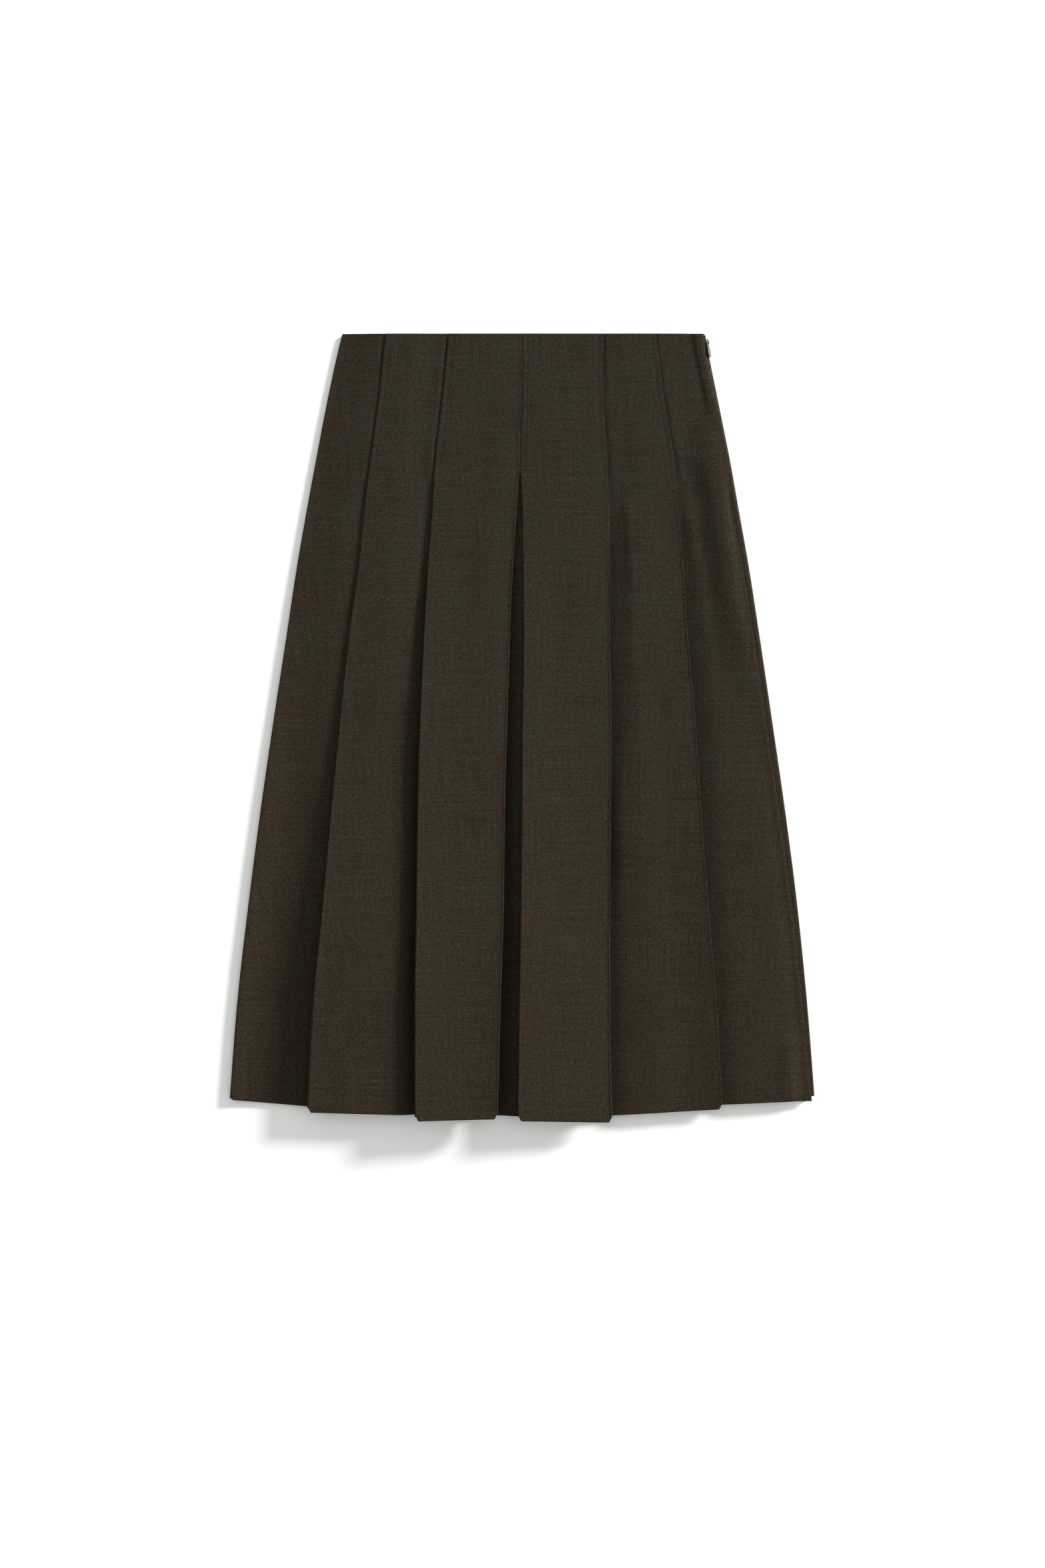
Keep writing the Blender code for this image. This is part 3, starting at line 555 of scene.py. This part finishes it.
def clothShell(name, sectionAt, outward, drop, relief):
    # a closed thin shell: rows down the skirt, columns along each section
    length = cut["length"]
    fine = [0, 0.4, 1.2, 2.4, 3.6, 5]
    sewn = cut["sewnDown"]
    downs = [*fine, *np.linspace(8, sewn - 3, 21), sewn, sewn + 3]
    downs += [*np.linspace(sewn + 8, length - 5, round((length - sewn) / cut["rowGap"]))]
    downs += [length - 2, length - 0.7, length]
    rows, grain = [], []
    for down in downs:
        section = sectionAt(down)
        points = np.array([p[:3] for p in section.points])
        ways = np.array([p[3:] for p in section.points])
        flat = points[:, :2]
        runs = np.diff(flat, axis=0)
        sizes = np.linalg.norm(runs, axis=1)
        runs /= sizes[:, None]
        mean = np.vstack([runs[:1], runs]) + np.vstack([runs, runs[-1:]])
        mean /= np.linalg.norm(mean, axis=1)[:, None]
        out = np.stack([-mean[:, 1], mean[:, 0]], axis=1)
        at = ~np.isnan(ways[:, 0])
        out[at] = ways[at] * outward
        before, after = runs[:-1], runs[1:]
        bend = np.arctan2(before[:, 0] * after[:, 1] - before[:, 1] * after[:, 0], (before * after).sum(axis=1))
        tight = (sizes[:-1] + sizes[1:]) / 2 / np.maximum(abs(bend), 1e-6)
        wall = {}
        for side in (1, -1):
            # inside a tight turn the shell is thinner, so that it doesn't cross itself
            room = np.pad(np.where(bend * outward * side > 0, cut["turnShare"] * tight, 1), 3, mode="edge")
            wall[side] = np.minimum(cut["thick"] / 2, np.min([room[i:i + len(sizes) + 1] for i in range(5)], axis=0))
        across = np.concatenate([[0], np.cumsum(sizes)])
        middle = section.marks["centreR"]
        grain.append(np.stack([across - across[middle], points[:, 2] * down / length], axis=1))
        y = cut["waistY"] - drop * (1 - down / length) - points[:, 2] * down / length
        z = flat[:, 1] + (np.array([relief(x, down) for x in flat[:, 0]]) if relief else 0)
        rounded = cut["rimShare"] if down in (0, length) else 1
        for side in (1, -1):
            shift = out * (outward * side * rounded * wall[side])[:, None]
            rows.append(np.stack([flat[:, 0] + shift[:, 0], y, z + shift[:, 1]], axis=1))
    outer, inner = np.array(rows[0::2]), np.array(rows[1::2])
    count, columns = outer.shape[:2]
    # rows run down the outer side, over the hem and back up the inner side
    loop = np.concatenate([outer, inner[::-1]])
    maps = np.concatenate([np.array(grain), np.array(grain)[::-1]])
    total = len(loop)
    index = np.arange(total * columns).reshape(total, columns)
    following = np.roll(index, -1, axis=0)
    quads = np.stack([index[:, :-1], following[:, :-1], following[:, 1:], index[:, 1:]], axis=2).reshape(-1, 4)
    caps = []
    for column in (0, columns - 1):
        a, b = index[:count, column], index[count:, column][::-1]
        cap = np.stack([a[:-1], b[:-1], b[1:], a[1:]], axis=1)
        caps.append(cap if column == 0 else cap[:, ::-1])
    faces = np.vstack([quads, *caps])
    if outward < 0:
        faces = faces[:, ::-1]
    piece = meshPiece(name, loop.reshape(-1, 3), faces.tolist())
    layer = piece.data.uv_layers.new(name="grain")
    corners = np.empty(len(piece.data.loops), dtype=np.int64)
    piece.data.loops.foreach_get("vertex_index", corners)
    layer.data.foreach_set("uv", (maps.reshape(-1, 2)[corners] * mm).astype(np.float32).ravel())
    print(name, "rows", count, "columns", columns, "triangles", 2 * len(faces))
    return piece, outer, sectionAt(0).marks, np.array(downs)


def meshPiece(name, points, faces):
    # points in mm
    mesh = bpy.data.meshes.new(name)
    mesh.from_pydata((np.asarray(points) * mm).tolist(), [], faces)
    mesh.validate()
    mesh.polygons.foreach_set("use_smooth", [True] * len(mesh.polygons))
    piece = bpy.data.objects.new(name, mesh)
    bpy.context.scene.collection.objects.link(piece)
    return piece


def frontRelief(x, down):
    # nothing at the right seam, where the front meets the back
    _, middle, _, radius, narrow = sideEdge("right", down)
    seam = middle + radius * narrow - max(0, seamAlong("right", down)[0] - radius * (math.pi / 2 - 1))
    return (creaseAt(x, down) + undulation(x, down)) * ease((seam - x) / cut["reliefFade"])


frontCloth, frontOuter, frontMarks, frontDowns = clothShell("frontCloth", frontSection, 1, 0, frontRelief)
backCloth, backOuter, backMarks, backDowns = clothShell("backCloth", backSection, -1, cut["backDrop"], None)


def threadStitches(name, rows):
    # short lengths of thread, each a slim bead along its row; rows are runs of surface points
    sides, rings = 6, (-1, -0.8, -0.35, 0.35, 0.8, 1)
    swell = (0.25, 0.75, 1, 1, 0.75, 0.25)
    points, faces = [], []
    for row in rows:
        steps = np.linalg.norm(np.diff(row, axis=0), axis=1)
        along = np.concatenate([[0], np.cumsum(steps)])
        number = max(1, round(along[-1] / topstitch["pitch"]))
        for k in range(number):
            middle = (k + 0.5) * along[-1] / number
            spot = [np.array([np.interp(middle + d, along, row[:, i]) for i in range(3)]) for d in (-0.4, 0.4)]
            way = spot[1] - spot[0]
            way /= np.linalg.norm(way)
            side = np.cross(way, (0, 0, 1))
            side /= np.linalg.norm(side)
            up = np.cross(side, way)
            base = len(points)
            half, radius = topstitch["length"] / 2, topstitch["radius"]
            for share, fat in zip(rings, swell):
                centre = (spot[0] + spot[1]) / 2 + way * half * share - up * topstitch["droop"] * share * share
                for i in range(sides):
                    a = 2 * math.pi * i / sides
                    points.append(centre + radius * fat * (side * math.cos(a) + up * math.sin(a)))
            for r in range(len(rings) - 1):
                for i in range(sides):
                    j = (i + 1) % sides
                    a = base + r * sides
                    faces.append((a + i, a + j, a + sides + j, a + sides + i))
            faces.append(tuple(base + i for i in reversed(range(sides))))
            faces.append(tuple(base + (len(rings) - 1) * sides + i for i in range(sides)))
    return meshPiece(name, points, faces)


def stitchRows(outer, marks, downs):
    # a row beside each fold, and a short one across to it where the pleat opens
    last = int(np.argmin(abs(downs - cut["sewnDown"])))
    beside = nearFold.index(topstitch["fromFold"]) + 1
    rows = []
    for name, side in foldSides.items():
        step = -side * beside
        line = outer[3:last + 1, marks[name] + step]
        rows.append(line)
        rows.append(outer[last, [marks[name] + step, marks[name] + step // 2, marks[name]]])
    return rows


frontStitches = threadStitches("frontTopstitches", stitchRows(frontOuter, frontMarks, frontDowns))
backStitches = threadStitches("backTopstitches", stitchRows(backOuter, backMarks, backDowns))
print("topstitches made")

# The zip in the right side seam
zipParts = {
    "solidWall": 1.0,  # the CAD cloth's thickness, on which the slider sits
    "end": 200, "coilRadius": 0.6, "coilWire": 0.16, "coilPitch": 1.3,
    "coilBelow": 0.3, "coilDeep": 1.25,  # the coil's start below the slider, and its depth under the cloth
    "sliderDown": 8.5,
    "barrel": {"radius": 1.1, "up": 4.5, "down": 3.3},
    "bridge": {"half": 1.8, "top": 2.6, "root": 0.4, "wire": 0.5, "bend": 0.7},
    "pullOut": 1.3, "pullThick": 0.8,
    "pullOutline": ((-0.4, 1.5), (3.9, 1.45), (7, 1.9), (10, 2.4), (12.6, 2.4), (14.6, 1.7), (15.4, 0.9)),
    "pullBar": 0.4, "pullEye": (0.95, 3.4),
    # from rim to eye: (place, share of the half thickness)
    "pullProfile": ((0, 0.5), (0.06, 0.86), (0.16, 1), (0.5, 0.92), (0.84, 1), (0.94, 0.86), (1, 0.5)),
}


def seamFrame(down):
    # the zip's own directions where it lies in the seam: origin, down it, across it, out
    share = cut["length"] / hemAt["right"]
    wall = zipParts["solidWall"]
    spots = []
    for at in (down - 2, down + 2):
        _, x, z, radius, narrow = sideEdge("right", at * share)
        outer = x + radius * narrow + cut["thick"] / 2
        radius += (cut["backLow"] - wall / 2) / 2
        spots.append(np.array((outer - wall / 2 - radius, cut["waistY"] - at, wall / 2 + radius)))
    origin = (spots[0] + spots[1]) / 2
    along = (spots[1] - spots[0]) / np.linalg.norm(spots[1] - spots[0])
    angle = seamAlong("right", down)[0] / radius
    out = np.array((-along[1], along[0], 0)) * math.cos(angle) + np.array((0, 0, math.sin(angle)))
    return origin, along, np.cross(along, out), out, radius + wall / 2


def zipPlaced(along, across, out):
    return zipAt[0] + zipAt[1] * along + zipAt[2] * across + zipAt[3] * out


def tube(path, radius, sides, taper=None):
    # a round tube along points in mm
    path = np.array(path)
    count = len(path)
    points, faces = [], []
    side = None
    for i, spot in enumerate(path):
        before, after = path[max(i - 1, 0)], path[min(i + 1, count - 1)]
        way = (after - before) / np.linalg.norm(after - before)
        if side is None:
            side = np.cross(way, (0.3, 0.2, 0.9))  # any direction that no path starts in
        side = side - way * side.dot(way)
        side /= np.linalg.norm(side)
        up = np.cross(way, side)
        r = radius * (taper[i] if taper else 1)
        for k in range(sides):
            a = 2 * math.pi * k / sides
            points.append(spot + r * (side * math.cos(a) + up * math.sin(a)))
    for i in range(count - 1):
        for k in range(sides):
            j = (k + 1) % sides
            faces.append((i * sides + k, i * sides + j, (i + 1) * sides + j, (i + 1) * sides + k))
    faces.append(tuple(reversed(range(sides))))
    faces.append(tuple((count - 1) * sides + k for k in range(sides)))
    return points, faces


def joined(name, parts):
    points, faces = [], []
    for some, loops in parts:
        base = len(points)
        points += list(some)
        faces += [tuple(base + i for i in loop) for loop in loops]
    return meshPiece(name, points, faces)


zipAt = seamFrame(zipParts["sliderDown"])
skin = zipAt[4]

# nylon coil, a spiral of stiff filament just inside the seam
coilPath = []
start = zipParts["sliderDown"] + zipParts["barrel"]["down"] + zipParts["coilBelow"]
turnSteps = 8
for k in range(int((zipParts["end"] - start) / zipParts["coilPitch"] * turnSteps)):
    at = start + k * zipParts["coilPitch"] / turnSteps
    edge = sideEdge("right", at * cut["length"] / hemAt["right"])
    seam, _ = seamAlong("right", at * cut["length"] / hemAt["right"])
    x, z, out = onEdge(edge, seam)
    inward = cut["thick"] / 2 + zipParts["coilDeep"]
    a = 2 * math.pi * k / turnSteps
    coilPath.append((x - out[0] * inward + zipParts["coilRadius"] * math.cos(a), cut["waistY"] - at,
                     z - out[1] * inward + zipParts["coilRadius"] * math.sin(a)))
zipCoil = joined("zipCoil", [tube(coilPath, zipParts["coilWire"], 4)])

# slider: a barrel round the coil and a bent wire bridge
barrel = zipParts["barrel"]
shares = (0, 0.06, 0.2, 0.5, 0.8, 0.94, 1)
barrelPath = [zipPlaced(-barrel["up"] + (barrel["up"] + barrel["down"]) * s, 0, 0) for s in shares]
bridge = zipParts["bridge"]
low, top, half, bend = bridge["root"], skin + bridge["top"], bridge["half"], bridge["bend"]
arch = [(-half, low), (-half, skin), (-half, top - bend)]
arch += [(-half + bend * (1 - math.cos(a)), top - bend + bend * math.sin(a)) for a in (0.5, 1.05, 1.57)]
arch += [(-t, n) for t, n in reversed(arch)]
bridgePath = [zipPlaced(t, 0, n) for t, n in arch]
zipSlider = joined("zipSlider", [
    tube(barrelPath, barrel["radius"], 16, taper=(0.6, 0.86, 1, 1, 1, 0.86, 0.6)),
    tube(bridgePath, bridge["wire"], 12),
])


def smoothLoop(points, steps):
    # a closed smooth curve through points
    points = np.array(points, float)
    made = []
    for i in range(len(points)):
        a, b, c, d = (points[(i + k) % len(points)] for k in (-1, 0, 1, 2))
        for s in range(steps):
            t = s / steps
            square = (2 * a - 5 * b + 4 * c - d) * t * t
            cube = (3 * b - a - 3 * c + d) * t ** 3
            made.append(0.5 * (2 * b + (c - a) * t + square + cube))
    return made


def pullTab():
    # a teardrop plate with a rounded rim and an eye, cast in one
    outline = [*zipParts["pullOutline"], *((t, -w) for t, w in reversed(zipParts["pullOutline"]))]
    rim = np.array(smoothLoop(outline, 5))
    wide, end = zipParts["pullEye"]
    bar = zipParts["pullBar"]
    eye = [(bar, wide * 0.8), (bar + 0.35, wide), (end - 0.7, wide), (end - 0.15, wide * 0.6)]
    eye = np.array(smoothLoop([*eye, *((t, -w) for t, w in reversed(eye))], 8))
    # both loops are matched by their angle about the eye's middle
    centre = np.array(((bar + end) / 2, 0))
    count = 64
    loops = []
    for loop in (rim, eye):
        angle = np.arctan2(loop[:, 1], loop[:, 0] - centre[0])
        order = np.argsort(angle)
        angle, loop = angle[order], loop[order]
        at = np.linspace(-math.pi, math.pi, count, endpoint=False)
        loops.append(np.stack([np.interp(at, angle, loop[:, i], period=2 * math.pi) for i in (0, 1)], axis=1))
    rim, eye = loops
    half = zipParts["pullThick"] / 2
    out = skin + zipParts["pullOut"]
    points, faces = [], []
    rings = [(rim * (1 - mix) + eye * mix, level * half) for mix, level in zipParts["pullProfile"]]
    rings += [(ring, -height) for ring, height in reversed(rings)]
    for ring, height in rings:
        points += [zipPlaced(t, w, out + height) for t, w in ring]
    total = len(rings)
    for r in range(total):
        nextRing = (r + 1) % total
        for i in range(count):
            j = (i + 1) % count
            faces.append((r * count + i, nextRing * count + i, nextRing * count + j, r * count + j))
    return meshPiece("pullTab", points, faces)


pull = pullTab()
print("zip made")


# Materials
def colour(hexValue):
    # sRGB hex to linear
    values = [int(hexValue[i:i + 2], 16) / 255 for i in (1, 3, 5)]
    return [v / 12.92 if v <= 0.04045 else ((v + 0.055) / 1.055) ** 2.4 for v in values] + [1]


def addNode(material, kind, settings=None, links=None, stops=()):
    # settings are attributes or input values, links are input: output socket, stops are a ramp's
    node = material.node_tree.nodes.new(kind)
    for name, value in (settings or {}).items():
        if isinstance(name, int) or name in node.inputs:
            node.inputs[name].default_value = value
        else:
            setattr(node, name, value)
    for name, socket in (links or {}).items():
        material.node_tree.links.new(socket, node.inputs[name])
    while stops and len(node.color_ramp.elements) < len(stops):
        node.color_ramp.elements.new(0.5)
    for i, (at, value) in enumerate(stops):
        node.color_ramp.elements[i].position = at
        node.color_ramp.elements[i].color = colour(value) if isinstance(value, str) else (value, value, value, 1)
    return node


def newMaterial(name):
    material = bpy.data.materials.new(name)
    material.use_nodes = True
    return material, material.node_tree.nodes["Principled BSDF"]


def setShader(shader, values):
    for name, value in values.items():
        shader.inputs[name].default_value = value


# Worsted wool melange, plain woven from brown and olive heather yarns: matt, with a fine
# crosshatch of thicker and thinner threads. The real threads are 0.4 mm apart, which the
# render can't show, so the slubs are drawn 1.1 mm wide.
wool = {
    "brown": "#271e13", "olive": "#252116", "lighter": "#372f25", "darker": "#150e06",
    "slubWidth": 1.1, "slubs": ((3.2, 3.1, 8.4, 0.32), (60, 5.5, 6.7, 0.18)),  # length, two seeds, share
    "patch": 32, "oliveShare": 0.1, "oliveFall": 0.35, "bump": 0.1,
}


def woolMelange():
    material, shader = newMaterial("worsted wool, woven melange")
    setShader(shader, {"Roughness": 0.92, "Sheen Weight": 0.05, "Sheen Roughness": 0.45,
                       "Sheen Tint": colour("#8a7a66"), "Specular IOR Level": 0.12})
    place = addNode(material, "ShaderNodeUVMap", {"uv_map": "grain"}).outputs["UV"]

    def threads(across, down, seed, detail=2.0):
        # noise stretched to a thread's width and length, in mm
        at = addNode(material, "ShaderNodeMapping",
                     {"Scale": (1000 / across, 1000 / down, 1), "Location": (seed, seed * 1.7, 0)}, {"Vector": place})
        return addNode(material, "ShaderNodeTexNoise",
                       {"noise_dimensions": "2D", "Scale": 1.0, "Detail": detail, "Roughness": 0.6},
                       {"Vector": at.outputs["Vector"]}).outputs["Fac"]

    width, shares = wool["slubWidth"], []
    for long, seedDown, seedAcross, share in wool["slubs"]:
        both = {0: threads(width, long, seedDown, 1.0), 1: threads(long, width, seedAcross, 1.0)}
        total = addNode(material, "ShaderNodeMath", {"operation": "ADD"}, both).outputs[0]
        shares.append(addNode(material, "ShaderNodeMath", {"operation": "MULTIPLY", 1: share}, {0: total}).outputs[0])
    tone = addNode(material, "ShaderNodeMath", {"operation": "ADD"}, dict(enumerate(shares))).outputs[0]
    # olive shows more towards the waist
    patch = threads(wool["patch"], wool["patch"] * 1.3, 1.9, 2.0)
    down = addNode(material, "ShaderNodeSeparateXYZ", links={"Vector": place}).outputs["Y"]
    more = addNode(material, "ShaderNodeMath", {"operation": "ADD", 1: wool["oliveShare"]}, {0: patch}).outputs[0]
    fall = addNode(material, "ShaderNodeMath", {"operation": "MULTIPLY", 1: wool["oliveFall"]}, {0: down}).outputs[0]
    olive = addNode(material, "ShaderNodeMath", {"operation": "SUBTRACT"}, {0: more, 1: fall}).outputs[0]
    olive = addNode(material, "ShaderNodeValToRGB", links={"Fac": olive}, stops=((0.36, 0.0), (0.66, 1.0)))
    heather = {"data_type": "RGBA", 6: colour(wool["brown"]), 7: colour(wool["olive"])}
    mixed = addNode(material, "ShaderNodeMix", heather, {0: olive.outputs["Color"]})
    for name, stops in (("darker", ((0.32, 0.9), (0.5, 0.0))), ("lighter", ((0.5, 0.0), (0.68, 0.9)))):
        shown = addNode(material, "ShaderNodeValToRGB", links={"Fac": tone}, stops=stops)
        mixed = addNode(material, "ShaderNodeMix", {"data_type": "RGBA", 7: colour(wool[name])},
                        {0: shown.outputs["Color"], 6: mixed.outputs[2]})
    material.node_tree.links.new(mixed.outputs[2], shader.inputs["Base Color"])
    bump = addNode(material, "ShaderNodeBump", {"Strength": 0.5, "Distance": wool["bump"] * mm}, {"Height": tone})
    material.node_tree.links.new(bump.outputs["Normal"], shader.inputs["Normal"])
    return material


# Antiqued brass, die cast and tumbled: dull grey green with brighter worn spots
def antiquedBrass():
    material, shader = newMaterial("antiqued brass, die cast")
    setShader(shader, {"Metallic": 1.0, "Roughness": 0.42})
    place = addNode(material, "ShaderNodeTexCoord").outputs["Object"]
    cloudy = addNode(material, "ShaderNodeTexNoise", {"Scale": 900.0, "Detail": 3.0}, {"Vector": place}).outputs["Fac"]
    for name, stops in (("Base Color", ((0.35, "#45443a"), (0.55, "#6d6c5c"), (0.75, "#8f8d78"))),
                        ("Roughness", ((0.35, 0.55), (0.75, 0.34)))):
        worn = addNode(material, "ShaderNodeValToRGB", links={"Fac": cloudy}, stops=stops)
        material.node_tree.links.new(worn.outputs["Color"], shader.inputs[name])
    bump = addNode(material, "ShaderNodeBump", {"Strength": 0.3, "Distance": 0.03 * mm}, {"Height": cloudy})
    material.node_tree.links.new(bump.outputs["Normal"], shader.inputs["Normal"])
    return material


# Spun polyester thread and nylon filament, dyed: dark, with a faint real sheen and bumped twist, and lighter bands
# along the twist that are a painted highlight
def dyedThread(name, hexValue, twist, roughness):
    material, shader = newMaterial(name)
    setShader(shader, {"Roughness": roughness, "Sheen Weight": 0.03, "Specular IOR Level": 0.3})
    place = addNode(material, "ShaderNodeTexCoord").outputs["Object"]
    wave = addNode(material, "ShaderNodeTexWave",
                   {"Scale": twist, "Distortion": 1.5, "Detail": 1.0, "bands_direction": "DIAGONAL"},
                   {"Vector": place}).outputs["Fac"]
    # the twist's ridges are painted up to 1.35 times lighter as a painted highlight; the bump below shades them for
    # real
    lighter = [v * 1.35 for v in colour(hexValue)[:3]] + [1]
    twistHighlight = addNode(material, "ShaderNodeMix", {"data_type": "RGBA", 6: colour(hexValue), 7: lighter}, {0: wave})
    material.node_tree.links.new(twistHighlight.outputs[2], shader.inputs["Base Color"])
    bump = addNode(material, "ShaderNodeBump", {"Strength": 0.4, "Distance": 0.05 * mm}, {"Height": wave})
    material.node_tree.links.new(bump.outputs["Normal"], shader.inputs["Normal"])
    return material


woolCloth = woolMelange()
brass = antiquedBrass()
thread = dyedThread("polyester thread, spun and dyed", "#13100b", 400.0, 0.8)
nylon = dyedThread("nylon filament, drawn and dyed", "#1a1612", 300.0, 0.45)
print("materials made")

for piece, material, body, slot in (
    (frontCloth, woolCloth, "skirt", "wool_cloth"),
    (backCloth, woolCloth, "skirt", "wool_cloth"),
    (frontStitches, thread, "skirt", "wool_cloth"),
    (backStitches, thread, "skirt", "wool_cloth"),
    (zipCoil, nylon, "skirt", "zip_tape"),
    (zipSlider, brass, "skirt", "zip_metal"),
    (pull, brass, "pull", "zip_metal"),
):
    piece.data.materials.append(material)
    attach(piece, body)

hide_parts("front_panel")
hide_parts("back_panel")
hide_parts("zip_coil")
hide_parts("zip_slider")
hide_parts("zip_pull")

# Floor, light and camera
studio = {
    "floor": "#f3f3f2", "floorSize": 6.0, "floorDown": 0.2,
    "keyElevation": 13.2, "keyAzimuth": 35.0,  # degrees, the second from +X towards +Y
    "keyAngle": 13.5, "keyStrength": 9.9, "keyAway": 3, "fill": 0.72,
    "cameraHeight": 3.006, "clothHeight": 0.006, "frameHeight": 1.5335, "aim": (0.00065, -0.0551), "sensor": 36,
}
half = studio["floorSize"] / 2 / mm
floor = meshPiece("floor", [(x * half, y * half, -studio["floorDown"])
                            for x, y in ((-1, -1), (1, -1), (1, 1), (-1, 1))], [(0, 1, 2, 3)])
paper, shader = newMaterial("matt paper backdrop")
setShader(shader, {"Base Color": colour(studio["floor"]), "Roughness": 0.9, "Specular IOR Level": 0.1})
floor.data.materials.append(paper)

scene = bpy.context.scene
key = bpy.data.lights.new("key", "SUN")
key.energy = studio["keyStrength"]
key.angle = math.radians(studio["keyAngle"])
keyLamp = bpy.data.objects.new("key", key)
elevation, azimuth = math.radians(studio["keyElevation"]), math.radians(studio["keyAzimuth"])
level = math.cos(elevation)
towards = Vector((level * math.cos(azimuth), level * math.sin(azimuth), math.sin(elevation)))
keyLamp.rotation_euler = towards.to_track_quat("Z", "Y").to_euler()
keyLamp.location = towards * studio["keyAway"]
scene.collection.objects.link(keyLamp)
world = bpy.data.worlds.new("studio")
world.use_nodes = True
world.node_tree.nodes["Background"].inputs["Color"].default_value = (1, 1, 1, 1)
world.node_tree.nodes["Background"].inputs["Strength"].default_value = studio["fill"]
scene.world = world
scene.view_settings.view_transform = "Standard"

camera = bpy.data.cameras.new("camera")
camera.sensor_width = studio["sensor"]
camera.lens = studio["sensor"] * (studio["cameraHeight"] - studio["clothHeight"]) / studio["frameHeight"]
cameraBody = bpy.data.objects.new("camera", camera)
cameraBody.location = (*studio["aim"], studio["cameraHeight"])
scene.collection.objects.link(cameraBody)
scene.camera = cameraBody
print("studio made")
